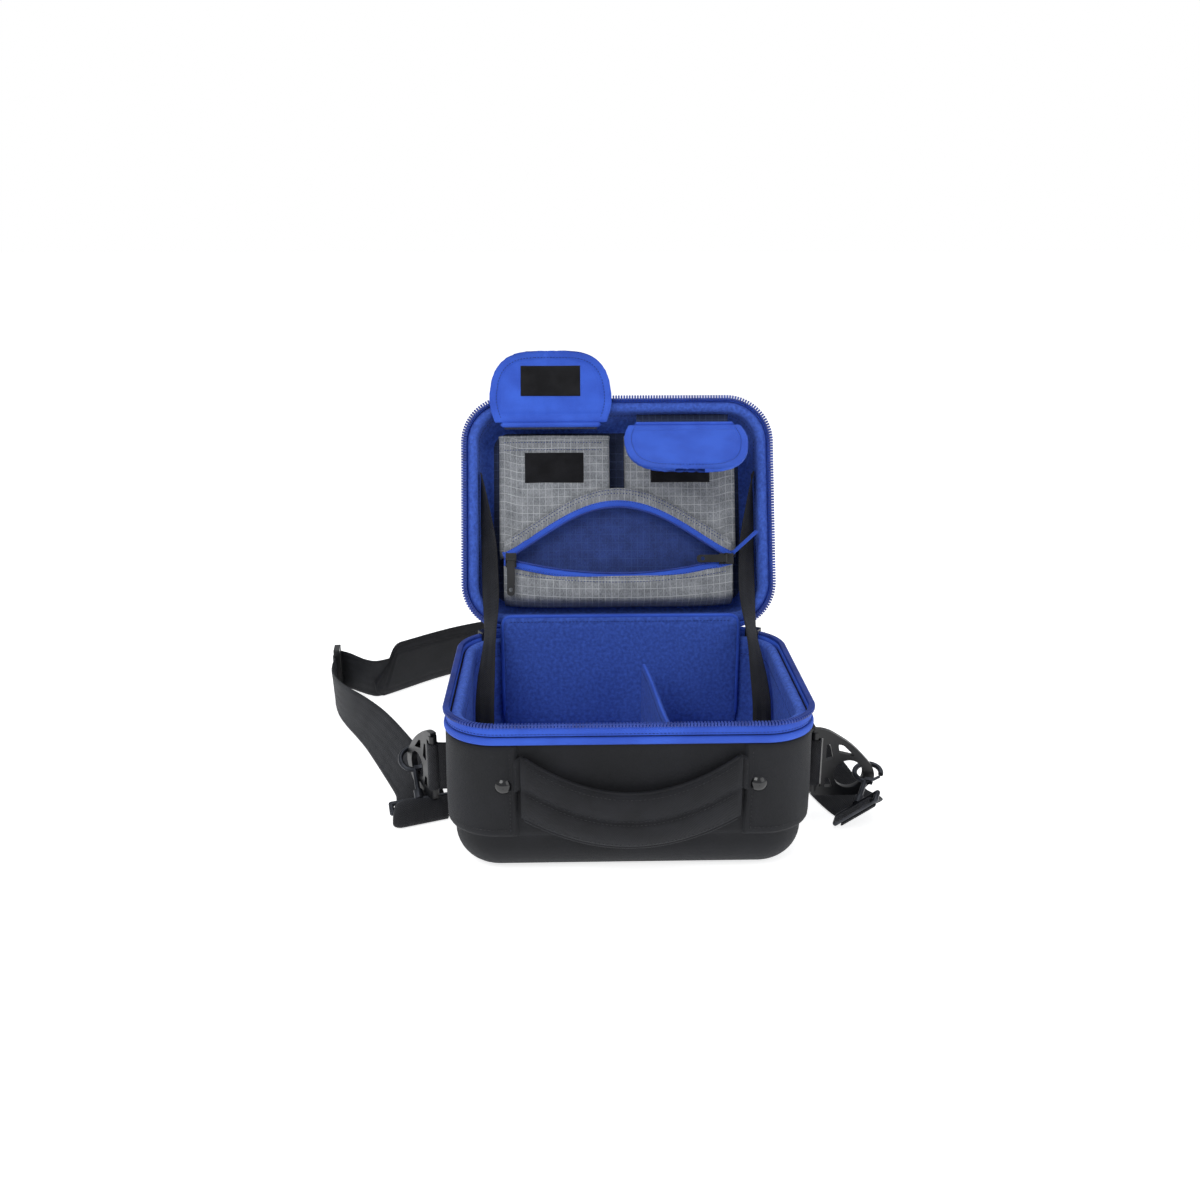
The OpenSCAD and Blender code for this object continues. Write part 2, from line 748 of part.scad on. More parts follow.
// The base's rim pieces turned over onto the lid
module lid_rim(section, walk) {
    turned = [for (i = [len(section) - 1:-1:0]) [section[i][0], base_h - section[i][1]]];
    lid_plan() along(walk, turned);
}
module lid_piping() {
    color(blue) lid_rim(piping_section(), rim_walk(zip_end));
}
module lid_zip_tape() {
    color(blue) lid_rim(tape_section(), rim_walk(zip_end));
}
module lid_zip_coil() {
    color(blue) lid_rim(coil_section(), coil_walk());
}

module hinge_web_lid() {
    low = cord_r + gap;
    color(blue) in_lid() rotate([90, 0, 90]) translate([0, 0, -hinge_half])
        linear_extrude(2*hinge_half) difference() {
            polygon(box_pts(-hinge_gap - edge_in + sewn, 0.6, 0, low + leaf_h));
            circle(r = low, $fn = 24);
        }
}

// An open-topped cloth pocket: an outline in x and depth, from v0 up to v1
module pocket(x0, x1, v0, v1, d0, d1) {
    difference() {
        translate([x0, -v1, d0]) cube([x1 - x0, v1 - v0, d1 - d0]);
        translate([x0 + cloth_t, -v1 - 1, d0 + cloth_t])
            cube([x1 - x0 - 2*cloth_t, v1 - v0 + 1 - cloth_t, d1 - d0 - 2*cloth_t]);
    }
}
pocket_back = ceiling - sewn;

module left_pocket() {
    color(grey) in_lid()
        pocket(-pocket_gap - pocket_w, -pocket_gap, pocket_low, pocket_top, pocket_d, pocket_back);
}
module right_pocket() {
    color(grey) in_lid()
        pocket(pocket_gap, pocket_gap + pocket_w, pocket_low, pocket_top, pocket_d, pocket_back);
}

// Hook-and-loop patches on the fronts of the upper pockets
patch_w = 50;
patch_h = 26;
patch_t = 1.2;

module pocket_patches() {
    mid = pocket_gap + pocket_w/2;
    color("#17181a") in_lid() for (s = [-1, 1])
        lid_slab(box_pts(s*mid - patch_w/2, pocket_top - 40, s*mid + patch_w/2, pocket_top - 40 + patch_h),
                 pocket_d - patch_t, pocket_d);
}

flap_mid = pocket_gap + pocket_w/2 + 2.5;
crease_r = flap_t/2;

module flap_neck(mid) {
    wall = case_d + hinge_gap - room_in - sewn - 0.1;
    color(blue) in_lid() translate([mid - flap_w/2 + 14, 0, 0])
        rotate([90, 0, 90]) linear_extrude(flap_w - 28) polygon([
            [-crease_v + 1.5, -crease_out + crease_r + gap], [-crease_v + 1.5, 14], [-wall, 14],
            [-wall, 11.5], [-crease_v - 1.5, 11.5], [-crease_v - 1.5, -crease_out + crease_r + gap]
        ]);
}
module left_flap_neck() {
    flap_neck(-flap_mid);
}
module right_flap_neck() {
    flap_neck(flap_mid);
}

// A flap in its own frame: crease along X at the origin, board towards -Y
function flap_outline() = rounded([
    [-flap_w/2 + 9, crease_r + gap], [flap_w/2 - 9, crease_r + gap], [flap_w/2, 20],
    [flap_w/2 - 3, flap_l], [-flap_w/2 + 3, flap_l], [-flap_w/2, 20]
], [1, 1, 12, 30, 30, 12], 6);

module at_crease(mid, angle) {
    in_lid() translate([mid, -crease_v, -crease_out]) rotate([angle, 0, 0]) children();
}
module crease(mid) {
    at_crease(mid, 0) rotate([0, 90, 0])
        cylinder(r = crease_r, h = flap_w - 18, center = true, $fn = 24);
}
module flap(mid, angle) {
    at_crease(mid, angle) lid_slab(flap_outline(), -flap_t/2, flap_t/2);
}
module flap_patch(mid, angle) {
    at_crease(mid, angle)
        lid_slab(box_pts(-patch_w/2, 24, patch_w/2, 24 + patch_h), -flap_t/2 - patch_t, -flap_t/2);
}
module left_crease() {
    color(blue) crease(-flap_mid);
}
module right_crease() {
    color(blue) crease(flap_mid);
}
module left_flap() {
    color(blue) flap(-flap_mid, 0);
}
module right_flap() {
    color(blue) flap(flap_mid, right_rest);
}
module left_flap_patch() {
    color("#17181a") flap_patch(-flap_mid, 0);
}
module right_flap_patch() {
    color("#17181a") flap_patch(flap_mid, right_rest);
}

// Zip pocket: a bulging pouch, its arched upper lip and the zip round its mouth
function lip_low(x) = mouth_end - mouth_sag*(1 - pow(x/pouch_half, 2));
function lip_top(x) = mouth_end + mouth_rise*pow(cos(90*x/pouch_half), 1.2);
lip_steps = 14;
function lip_x(i) = -pouch_half + 2*pouch_half*i/lip_steps;
tape_w = 6;
pouch_front = 2;
pouch_back = pocket_back;
lip_d = pocket_d - cloth_t - 1.4;

// Plan of the pouch in x and depth, moved in by s
function pouch_plan(s) = concat(
    [for (i = [0:lip_steps]) let (x = lip_x(i)*(pouch_half - s)/pouch_half)
        [x, pouch_front + 5*pow(abs(x)/pouch_half, 6) - pouch_bulge*(1 - pow(x/pouch_half, 2)) + s]],
    [[pouch_half - s, pouch_back - s], [-pouch_half + s, pouch_back - s]]
);

module pouch_solid(s, v0, v1) {
    translate([0, -v0, 0]) rotate([90, 0, 0]) linear_extrude(v1 - v0) polygon(pouch_plan(s));
}
// The room inside the lid's lining, moved in by s
module lid_room(s) {
    side = lid_h - lid_r;
    r = lid_r - room_in - s;
    translate([0, -hinge_y, 0])
        shell(concat([[room_in + s, -30], [room_in + s, 8]], arc(lid_r, side, r, 0, 90, 4)));
}

module zip_pocket() {
    tall = mouth_end + 2;
    color(grey) in_lid() difference() {
        intersection() {
            pouch_solid(0, pouch_low, tall);
            lid_room(sewn);
        }
        intersection() {
            pouch_solid(cloth_t, pouch_low + cloth_t, tall + 1);
            lid_room(sewn + cloth_t);
        }
        lid_slab(concat([for (i = [0:lip_steps]) [lip_x(i)*1.02, lip_low(lip_x(i))]],
                        [[pouch_half*1.1, tall + 1], [-pouch_half*1.1, tall + 1]]),
                 -pouch_bulge - 4, pocket_d - cloth_t);
        translate([-pouch_half - 5, -tall - 20, pocket_d - sewn - cloth_t])
            cube([2*pouch_half + 10, 20 + tall - mouth_end + sewn, pouch_back]);
    }
}

function lip(i, k) = [lip_x(i)*(1 + 0.004*k), lip_top(lip_x(i)) + k];
module lip_band(low, high, d0, d1) {
    lid_slab(concat([for (i = [0:lip_steps]) lip(i, low)], [for (i = [lip_steps:-1:0]) lip(i, high)]), d0, d1);
}
module zip_pocket_top() {
    color(grey) in_lid() lip_band(tape_w + sewn, tape_w + 9, lip_d, lip_d + cloth_t);
}
module pocket_zip() {
    color(blue) in_lid() {
        lip_band(0.2, tape_w, lip_d - 0.6, lip_d + cloth_t);
        difference() {
            pouch_solid(-1.6, pouch_low, mouth_end);
            pouch_solid(-sewn, pouch_low - 1, mouth_end + 2);
            lid_slab(concat([for (i = [0:lip_steps]) [lip_x(i)*1.1, lip_low(lip_x(i)) - 1]],
                            [[pouch_half*1.2, mouth_end + 3], [-pouch_half*1.2, mouth_end + 3]]),
                     -pouch_bulge - 4, pocket_d);
            lid_slab(concat([for (i = [0:lip_steps]) [lip_x(i)*1.1, lip_low(lip_x(i)) - tape_w - 1]],
                            [[pouch_half*1.2, 0], [-pouch_half*1.2, 0]]),
                     -pouch_bulge - 4, pouch_back + 3);
            translate([-pouch_half - 5, -mouth_end - 1, pocket_d - 5])
                cube([2*pouch_half + 10, mouth_end, pouch_back]);
        }
    }
}

// Sliders at the mouth's two ends, each with a hanging or lying pull
slide_x = pouch_half - 6;
slide_v = mouth_end - 2;
slide_d = 1.7;
tab_d = slide_d - 4;
stem_r = 0.9;

module pocket_slider() {
    difference() {
        union() {
            translate([-4.5, -6, slide_d - 2.6]) cube([9, 12, 2.6]);
            for (x = [-4.5, 3.6]) translate([x, -1.8, tab_d - 1.6]) cube([0.9, 3.6, 3]);
        }
        translate([0, 0, tab_d]) rotate([0, 90, 0])
            cylinder(r = stem_r + run, h = 20, center = true, $fn = 24);
    }
}
module pocket_sliders() {
    color(black) in_lid() {
        translate([-slide_x, -slide_v, 0]) pocket_slider();
        translate([slide_x, -slide_v, 0]) rotate([0, 0, 90]) pocket_slider();
    }
}

// A pull towards +Y from its stem, with an eyelet near its end
module pull_tab(l) {
    difference() {
        linear_extrude(1.4, center = true)
            polygon(rounded(box_pts(-3.2, -0.7, 3.2, l), [0.5, 0.5, 3, 3]));
        translate([0, l - 5, 0]) cylinder(r = 1.7, h = 4, center = true, $fn = 24);
    }
    rotate([0, 90, 0]) cylinder(r = stem_r, h = 9, center = true, $fn = 24);
}
module pocket_pull_left() {
    color(black) in_lid() translate([-slide_x, -slide_v, tab_d]) pull_tab(30);
}
module pocket_pull_right() {
    color(black) in_lid() translate([slide_x, -slide_v, tab_d]) rotate([0, 0, 90]) pull_tab(25);
}

// The zip's end left over as a stub of tape
module pocket_tab() {
    color(blue) in_lid() translate([pouch_half + 0.6, -mouth_end - 2, 0]) rotate([0, 0, -42])
        rotate([90, 0, 0]) linear_extrude(1.4)
            polygon([[0, 1], [8, -3], [26, -9], [26, -1], [8, 3], [0, 8]]);
}

// Webbing stays between the lid's sides and the base's sides, slack over the hinge's ends:
// places from the hinge line's level at the case's side [x, y, z, twist towards the front]
stay_from = [case_w/2, hinge_y, base_h];
stay_route = [
    [-14.5, 62.5, 118, 0], [-17.5, 51.5, 93, 30], [-21, 37.5, 61, 62], [-22.5, 19.5, 34, 70],
    [-24, -3.5, 18.5, 58], [-24.5, -24.5, 8, 45], [-23.5, -44.5, -5, 52], [-22.5, -62.5, -20, 70],
    [-22, -76.5, -35, 80], [-22, -82.5, -51, 80]
];
stay_w = 18;
stay_t = 1.4;

module stay() {
    n = len(stay_route);
    color(black) through([
        for (i = [0:n - 1])
            let (q = stay_route[i], u = stay_route[max(i - 1, 0)], w = stay_route[min(i + 1, n - 1)],
                 p = stay_from + [q[0], q[1], q[2]], d = unit([w[0] - u[0], w[1] - u[1], w[2] - u[2]]),
                 flat = unit(cross([1, 0, 0], d)), side = cross(d, flat),
                 out = flat*cos(q[3]) + side*sin(q[3]), thin = cross(out, d))
            [p - thin*stay_t/2 - out*stay_w/2, p + thin*stay_t/2 - out*stay_w/2,
             p + thin*stay_t/2 + out*stay_w/2, p - thin*stay_t/2 + out*stay_w/2]
    ]);
}
module stay_right() {
    stay();
}
module stay_left() {
    mirror([1, 0, 0]) stay();
}

base_shell();
base_lining();
base_piping();
base_zip_tape();
base_zip_coil();
hinge_web_base();
side_panel_left();
side_panel_right();
rivets();
handle_anchors();
rear_panel();
zip_sliders();
ring_loop_left();
ring_loop_right();
strap_left();
strap_adjuster();
strap_lead();
shoulder_pad();
strap_rear();
strap_end_left();
strap_end_right();
stay_left();
stay_right();
lid_shell();
lid_lining();
lid_piping();
lid_zip_tape();
lid_zip_coil();
hinge_web_lid();
left_pocket();
right_pocket();
pocket_patches();
left_flap_neck();
right_flap_neck();
zip_pocket();
zip_pocket_top();
pocket_zip();
pocket_sliders();
pocket_tab();
left_crease();
left_flap();
left_flap_patch();
right_crease();
right_flap();
right_flap_patch();
cover_flap();
divider();
handle();
ring_left();
ring_right();
hook_left();
hook_right();
gate_left();
gate_right();
zip_pull_left();
zip_pull_right();
pocket_pull_left();
pocket_pull_right();
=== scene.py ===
"""Open hard-shell zippered carry case with a shoulder strap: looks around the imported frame."""

import json

import bpy
import numpy as np
from mathutils import Vector
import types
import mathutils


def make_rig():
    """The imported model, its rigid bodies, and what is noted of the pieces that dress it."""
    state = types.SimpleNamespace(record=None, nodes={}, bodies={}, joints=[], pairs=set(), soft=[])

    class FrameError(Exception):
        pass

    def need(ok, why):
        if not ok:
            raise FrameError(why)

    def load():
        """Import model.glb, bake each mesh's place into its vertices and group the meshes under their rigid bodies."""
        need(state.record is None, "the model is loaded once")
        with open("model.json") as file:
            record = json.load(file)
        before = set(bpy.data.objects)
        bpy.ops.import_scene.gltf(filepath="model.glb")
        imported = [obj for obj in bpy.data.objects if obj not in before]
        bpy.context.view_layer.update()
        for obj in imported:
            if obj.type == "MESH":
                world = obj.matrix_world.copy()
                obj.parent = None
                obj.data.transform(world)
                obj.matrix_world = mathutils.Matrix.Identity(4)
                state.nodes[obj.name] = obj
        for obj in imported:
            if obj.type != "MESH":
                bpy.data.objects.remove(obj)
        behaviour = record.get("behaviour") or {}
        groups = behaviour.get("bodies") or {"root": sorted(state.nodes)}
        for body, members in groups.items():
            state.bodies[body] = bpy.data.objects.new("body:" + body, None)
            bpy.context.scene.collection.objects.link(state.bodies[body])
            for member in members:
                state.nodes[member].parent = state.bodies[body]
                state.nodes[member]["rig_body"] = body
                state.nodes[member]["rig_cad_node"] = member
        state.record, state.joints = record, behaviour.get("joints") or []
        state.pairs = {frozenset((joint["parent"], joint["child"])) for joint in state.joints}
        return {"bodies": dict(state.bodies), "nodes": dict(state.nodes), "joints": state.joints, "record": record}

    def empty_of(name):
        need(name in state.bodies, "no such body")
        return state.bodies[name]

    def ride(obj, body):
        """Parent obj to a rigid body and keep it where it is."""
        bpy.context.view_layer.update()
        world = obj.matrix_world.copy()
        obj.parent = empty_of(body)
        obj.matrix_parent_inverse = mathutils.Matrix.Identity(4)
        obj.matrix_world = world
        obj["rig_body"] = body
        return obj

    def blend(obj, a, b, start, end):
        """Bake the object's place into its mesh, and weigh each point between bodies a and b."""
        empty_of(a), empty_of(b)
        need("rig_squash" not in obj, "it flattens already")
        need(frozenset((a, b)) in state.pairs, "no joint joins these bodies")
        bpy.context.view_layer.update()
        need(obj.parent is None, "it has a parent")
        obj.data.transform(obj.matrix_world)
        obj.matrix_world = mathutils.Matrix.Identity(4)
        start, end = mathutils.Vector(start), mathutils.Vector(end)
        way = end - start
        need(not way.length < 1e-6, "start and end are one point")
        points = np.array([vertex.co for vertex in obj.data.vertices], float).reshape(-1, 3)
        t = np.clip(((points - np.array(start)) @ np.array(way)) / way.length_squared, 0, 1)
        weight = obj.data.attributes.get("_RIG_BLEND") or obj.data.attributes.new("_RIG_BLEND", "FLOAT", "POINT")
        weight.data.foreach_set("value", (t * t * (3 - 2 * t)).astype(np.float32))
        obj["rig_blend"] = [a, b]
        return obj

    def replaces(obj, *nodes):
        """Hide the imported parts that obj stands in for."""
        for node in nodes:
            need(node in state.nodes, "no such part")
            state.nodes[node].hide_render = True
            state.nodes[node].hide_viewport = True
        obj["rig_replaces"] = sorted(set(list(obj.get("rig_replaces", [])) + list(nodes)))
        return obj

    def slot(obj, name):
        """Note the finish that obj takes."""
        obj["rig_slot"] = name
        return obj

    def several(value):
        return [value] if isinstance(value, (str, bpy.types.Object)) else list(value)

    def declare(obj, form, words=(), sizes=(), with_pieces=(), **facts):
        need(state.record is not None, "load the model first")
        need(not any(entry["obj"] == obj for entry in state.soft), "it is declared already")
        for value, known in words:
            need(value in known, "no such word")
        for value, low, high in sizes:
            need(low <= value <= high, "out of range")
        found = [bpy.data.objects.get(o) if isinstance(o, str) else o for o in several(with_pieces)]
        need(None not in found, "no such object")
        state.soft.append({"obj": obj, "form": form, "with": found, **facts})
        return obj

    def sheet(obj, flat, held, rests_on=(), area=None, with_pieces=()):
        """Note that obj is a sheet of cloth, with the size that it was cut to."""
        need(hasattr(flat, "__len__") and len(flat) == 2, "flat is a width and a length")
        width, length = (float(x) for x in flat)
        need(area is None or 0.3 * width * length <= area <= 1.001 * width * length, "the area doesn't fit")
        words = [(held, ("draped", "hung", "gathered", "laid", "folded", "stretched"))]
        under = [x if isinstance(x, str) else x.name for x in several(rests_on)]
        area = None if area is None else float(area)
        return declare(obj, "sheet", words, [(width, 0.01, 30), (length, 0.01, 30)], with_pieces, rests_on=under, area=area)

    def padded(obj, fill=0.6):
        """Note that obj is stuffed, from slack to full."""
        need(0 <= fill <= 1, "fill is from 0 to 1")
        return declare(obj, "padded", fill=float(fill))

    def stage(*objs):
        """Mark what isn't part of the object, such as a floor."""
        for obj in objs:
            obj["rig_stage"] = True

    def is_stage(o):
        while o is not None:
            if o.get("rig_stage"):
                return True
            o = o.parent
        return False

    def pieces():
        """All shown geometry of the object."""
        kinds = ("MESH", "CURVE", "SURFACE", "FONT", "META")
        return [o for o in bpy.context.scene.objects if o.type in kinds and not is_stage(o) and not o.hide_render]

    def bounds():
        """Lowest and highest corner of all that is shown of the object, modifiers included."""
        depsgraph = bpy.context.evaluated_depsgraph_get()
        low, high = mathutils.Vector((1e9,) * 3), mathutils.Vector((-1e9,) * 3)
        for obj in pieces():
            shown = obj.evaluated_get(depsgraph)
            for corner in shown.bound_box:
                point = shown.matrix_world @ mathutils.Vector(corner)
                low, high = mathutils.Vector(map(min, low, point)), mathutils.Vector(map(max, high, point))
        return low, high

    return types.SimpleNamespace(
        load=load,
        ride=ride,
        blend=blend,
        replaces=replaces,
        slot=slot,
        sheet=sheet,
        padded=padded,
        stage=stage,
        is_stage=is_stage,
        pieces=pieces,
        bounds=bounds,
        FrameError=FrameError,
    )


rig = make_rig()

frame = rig.load()
cad_box = [list(c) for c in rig.bounds()]
NODES = frame["nodes"]
PI = np.pi


# ---------- camera and studio light ----------
# A level camera a little under a metre in front and above; three broad soft lamps.


def aim(obj, place, target):
    """Puts a camera or lamp at its place, turned to the target."""
    bpy.context.scene.collection.objects.link(obj)
    obj.location = place
    obj.rotation_mode = "QUATERNION"
    obj.rotation_quaternion = (Vector(target) - Vector(place)).to_track_quat("-Z", "Y")


camera = bpy.data.objects.new("camera", bpy.data.cameras.new("camera"))
camera.data.sensor_width = 36
camera.data.lens = 36.02
aim(camera, (-0.0417, -0.8445, 0.4461), (-0.019, 0, 0.1758))
camera.data.clip_start = 0.01
bpy.context.scene.camera = camera
bpy.context.scene.view_settings.view_transform = "Standard"


def soft_lamp(name, place, size, power):
    lamp = bpy.data.objects.new(name, bpy.data.lights.new(name, "AREA"))
    lamp.data.size = size
    lamp.data.energy = power
    aim(lamp, place, (0, 0, 0.12))


soft_lamp("key", (-0.9, -1.3, 1.5), 1.1, 15)
soft_lamp("fill", (1.3, -1.1, 0.9), 1.3, 7)
soft_lamp("top", (0.1, 0.25, 1.9), 1.2, 9)

world = bpy.data.worlds.new("studio")
bpy.context.scene.world = world
world.use_nodes = True
sky = world.node_tree
air = sky.nodes["Background"]
air.inputs["Color"].default_value = (0.95, 0.97, 1.0, 1)
air.inputs["Strength"].default_value = 0.5
seen = sky.nodes.new("ShaderNodeBackground")
seen.inputs["Color"].default_value = (1, 1, 1, 1)
ray = sky.nodes.new("ShaderNodeLightPath")
pick = sky.nodes.new("ShaderNodeMixShader")
sky.links.new(ray.outputs["Is Camera Ray"], pick.inputs[0])
sky.links.new(air.outputs[0], pick.inputs[1])
sky.links.new(seen.outputs[0], pick.inputs[2])
sky.links.new(pick.outputs[0], sky.nodes["World Output"].inputs[0])


# ---------- floor ----------
# A pale plane that goes white to the camera and keeps a faint contact shadow.

bpy.ops.mesh.primitive_plane_add(size=30)
floor = bpy.context.object
floor.name = "floor"
paper = bpy.data.materials.new("floor_paper")
paper.use_nodes = True
pt = paper.node_tree
bsdf = pt.nodes["Principled BSDF"]
bsdf.inputs["Base Color"].default_value = (0.8, 0.8, 0.8, 1)
bsdf.inputs["Roughness"].default_value = 0.9
bsdf.inputs["Specular IOR Level"].default_value = 0
glow = pt.nodes.new("ShaderNodeEmission")
glow.inputs["Strength"].default_value = 0.72
both = pt.nodes.new("ShaderNodeAddShader")
pt.links.new(bsdf.outputs[0], both.inputs[0])
pt.links.new(glow.outputs[0], both.inputs[1])
pt.links.new(both.outputs[0], pt.nodes["Material Output"].inputs[0])
floor.data.materials.append(paper)
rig.stage(floor)


# ---------- base shell ----------
# Moulded foam under black nylon: a tray with a large round bottom edge, a step, and
# upright walls that the side panels cover. Cloth is bonded to it in one piece.

slots = {}


class Finish:
    """A material's node tree, with short calls for the nodes used here."""

    def __init__(self, name):
        self.mat = bpy.data.materials.new(name)
        self.mat.use_nodes = True
        self.tree = self.mat.node_tree
        self.bsdf = self.tree.nodes["Principled BSDF"]
        self.coords = self.new("TexCoord")

    def new(self, kind):
        return self.tree.nodes.new("ShaderNode" + kind)

    def put(self, socket, value):
        if isinstance(value, bpy.types.NodeSocket):
            self.tree.links.new(value, socket)
        else:
            socket.default_value = value

    def math(self, op, a, b=0.0, c=0.0):
        n = self.new("Math")
        n.operation = op
        for socket, value in zip(n.inputs, (a, b, c)):
            self.put(socket, value)
        return n.outputs[0]

    def mad(self, a, b, c):
        """a times b plus c."""
        return self.math("MULTIPLY_ADD", a, b, c)

    def uv(self):
        n = self.new("SeparateXYZ")
        self.put(n.inputs[0], self.coords.outputs["UV"])
        return n.outputs[0], n.outputs[1]

    def noise(self, scale, detail=3.0, where="Object", stretch=None):
        n = self.new("TexNoise")
        place = self.coords.outputs[where]
        if stretch:
            m = self.new("Mapping")
            self.put(m.inputs["Vector"], place)
            m.inputs["Scale"].default_value = stretch
            place = m.outputs[0]
        self.put(n.inputs["Vector"], place)
        n.inputs["Scale"].default_value = scale
        n.inputs["Detail"].default_value = detail
        return n.outputs["Fac"]

    def wave(self, x, pitch):
        """Sine of a length, one turn per pitch."""
        return self.math("SINE", self.math("MULTIPLY", x, 2 * PI / pitch))

    def mix(self, fac, a, b):
        n = self.new("Mix")
        n.data_type = "RGBA"
        self.put(n.inputs[0], fac)
        for socket, value in ((n.inputs[6], a), (n.inputs[7], b)):
            self.put(socket, (*value, 1) if isinstance(value, tuple) else value)
        return n.outputs[2]

    def ramp(self, x, low, high):
        """0 at low, 1 at high, straight between."""
        n = self.new("MapRange")
        self.put(n.inputs[0], x)
        n.inputs[1].default_value = low
        n.inputs[2].default_value = high
        return n.outputs[0]

    def bump(self, height, distance):
        n = self.new("Bump")
        n.inputs["Distance"].default_value = distance
        self.put(n.inputs["Height"], height)
        self.tree.links.new(n.outputs[0], self.bsdf.inputs["Normal"])

    def done(self, slot, color, rough, sheen=0.0, metallic=0.0, specular=0.25, tint=(1, 1, 1)):
        for socket, value in {
            "Base Color": color, "Roughness": rough, "Sheen Weight": sheen, "Sheen Roughness": 0.5,
            "Sheen Tint": (*tint, 1), "Metallic": metallic, "Specular IOR Level": specular,
        }.items():
            self.put(self.bsdf.inputs[socket], value)
        slots[self.mat.name] = slot
        return self.mat


def woven(name, slot, dark, light, pitch, depth, rough, sheen, tint, twill=False, blotch=60, fluff=0.35):
    """Plain weave (product of two sines) or twill (sine of their sum) over slow and fine noise."""
    n = Finish(name)
    u, v = n.uv()
    h = n.wave(n.math("ADD", u, v), pitch) if twill else n.math("MULTIPLY", n.wave(u, pitch), n.wave(v, pitch))
    fine = n.noise(2400, 2)
    slow = n.noise(blotch, 4)
    tone = n.mad(fine, fluff, n.mad(h, 0.14, slow))
    n.bump(n.mad(fine, 0.8, h), depth)
    r = n.mad(slow, 0.16, rough - 0.08)
    tone = n.ramp(tone, 0.3 + fluff / 2, 0.72 + fluff / 2)
    return n.done(slot, n.mix(tone, dark, light), r, sheen, tint=tint)


COOL, AZURE = (0.6, 0.66, 0.8), (0.35, 0.5, 1.0)
shell_cloth = woven(
    "shell_cloth", "shell_fabric", (0.0048, 0.0052, 0.0066), (0.0115, 0.0121, 0.015),
    0.0011, 0.00013, 0.66, 0.035, COOL, blotch=26,
)
SIDE = {-1: "left", 1: "right"}


def unit(a):
    a = np.asarray(a, float)
    return a / np.maximum(np.linalg.norm(a, axis=-1, keepdims=True), 1e-12)


def grid(*q):
    """Coordinates spread over one common grid, as its points."""
    return np.stack(np.broadcast_arrays(*q), -1)


def spaced(p, axis=0):
    """Running length along one axis of a grid of points."""
    d = np.linalg.norm(np.diff(p, axis=axis), axis=-1)
    return np.concatenate([np.zeros_like(np.take(d, [0], axis=axis)), np.cumsum(d, axis=axis)], axis=axis)


def along(path, run, s):
    """Places on a path at the running lengths s."""
    return grid(*(np.interp(s, run, q) for q in path.T))


def near_end(s):
    """Distance to the nearer end of a rising row of numbers."""
    return np.minimum(s - s[0], s[-1] - s)


def eased(n):
    """n places from 0 to 1, closest together at both ends: half of one minus cosine."""
    return (1 - np.cos(np.linspace(0, PI, n))) / 2


def clamp(x):
    return np.clip(x, 0, 1)


def rounded(d, r):
    """A quarter circle: 0 at an edge, 1 from a distance r on."""
    return np.sqrt(1 - clamp(1 - d / r) ** 2)


def heading(path):
    """Unit direction of a path at each of its points."""
    return unit(np.gradient(path, axis=0))


def bell(x, at, width):
    """A bell curve round a place: e to the minus squared distance in widths."""
    return np.exp(-(((x - at) / width) ** 2))


def mesh(name, verts, faces, mat, uvs=None, smooth=True):
    """A mesh object from points and UVs in millimetres."""
    data = bpy.data.meshes.new(name)
    data.from_pydata((verts.reshape(-1, 3) / 1000).tolist(), [], faces)
    if uvs is not None:
        layer = data.uv_layers.new(name="UVMap")
        loops = np.zeros(len(data.loops), np.int32)
        data.loops.foreach_get("vertex_index", loops)
        layer.data.foreach_set("uv", (uvs.reshape(-1, 2)[loops] / 1000).astype(np.float32).ravel())
    data.materials.append(mat)
    data.polygons.foreach_set("use_smooth", [smooth] * len(data.polygons))
    data.validate()
    data.update()
    obj = bpy.data.objects.new(name, data)
    bpy.context.scene.collection.objects.link(obj)
    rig.slot(obj, slots[mat.name])
    return obj


def surface(name, p, mat, close_u=False, close_v=False, flip=False, uv=None, plan=None):
    """A grid of points as quads, joined round in u or v where asked. With a plan, one flat
    face closes the last ring, and its weave runs straight on that plan."""
    nu, nv = p.shape[:2]
    order = slice(None, None, -1 if flip else 1)
    i = np.arange(nu if close_u else nu - 1)[:, None]
    j = np.arange(nv if close_v else nv - 1)
    i2, j2 = (i + 1) % nu, (j + 1) % nv
    faces = grid(i * nv + j, i2 * nv + j, i2 * nv + j2, i * nv + j2)
    faces = faces.reshape(-1, 4)[:, order].tolist()
    last = np.arange(nv - 1, nu * nv, nv)[order]
    if plan is not None:
        faces.append(last.tolist())
    if uv is None:
        uv = grid(spaced(p).max(axis=1, keepdims=True), spaced(p, 1))
    obj = mesh(name, p, faces, mat, uv)
    if plan is not None:
        spots = np.zeros(2 * len(obj.data.loops), np.float32)
        layer = obj.data.uv_layers[0].data
        layer.foreach_get("uv", spots)
        spots[-2 * nu :] = (plan.reshape(-1, 3)[last, :2] / 1000).ravel()
        layer.foreach_set("uv", spots)
    return obj


def thicken(obj, t, offset=0.0):
    """Gives a sheet a thickness in millimetres, about it or, with offset -1, behind it."""
    m = obj.modifiers.new("thickness", "SOLIDIFY")
    m.thickness = t / 1000
    m.offset = offset
    return obj


def ride(body, *objs):
    for o in objs:
        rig.ride(o, body)


# The case's plan: half width, half depth, corner radius; its straight runs and its way round
HW, HD, CR = 130.0, 97.5, 38.0
SX, SY, ARC = HW - CR, HD - CR, CR * PI / 2
AROUND = 4 * SX + 4 * SY + 4 * ARC


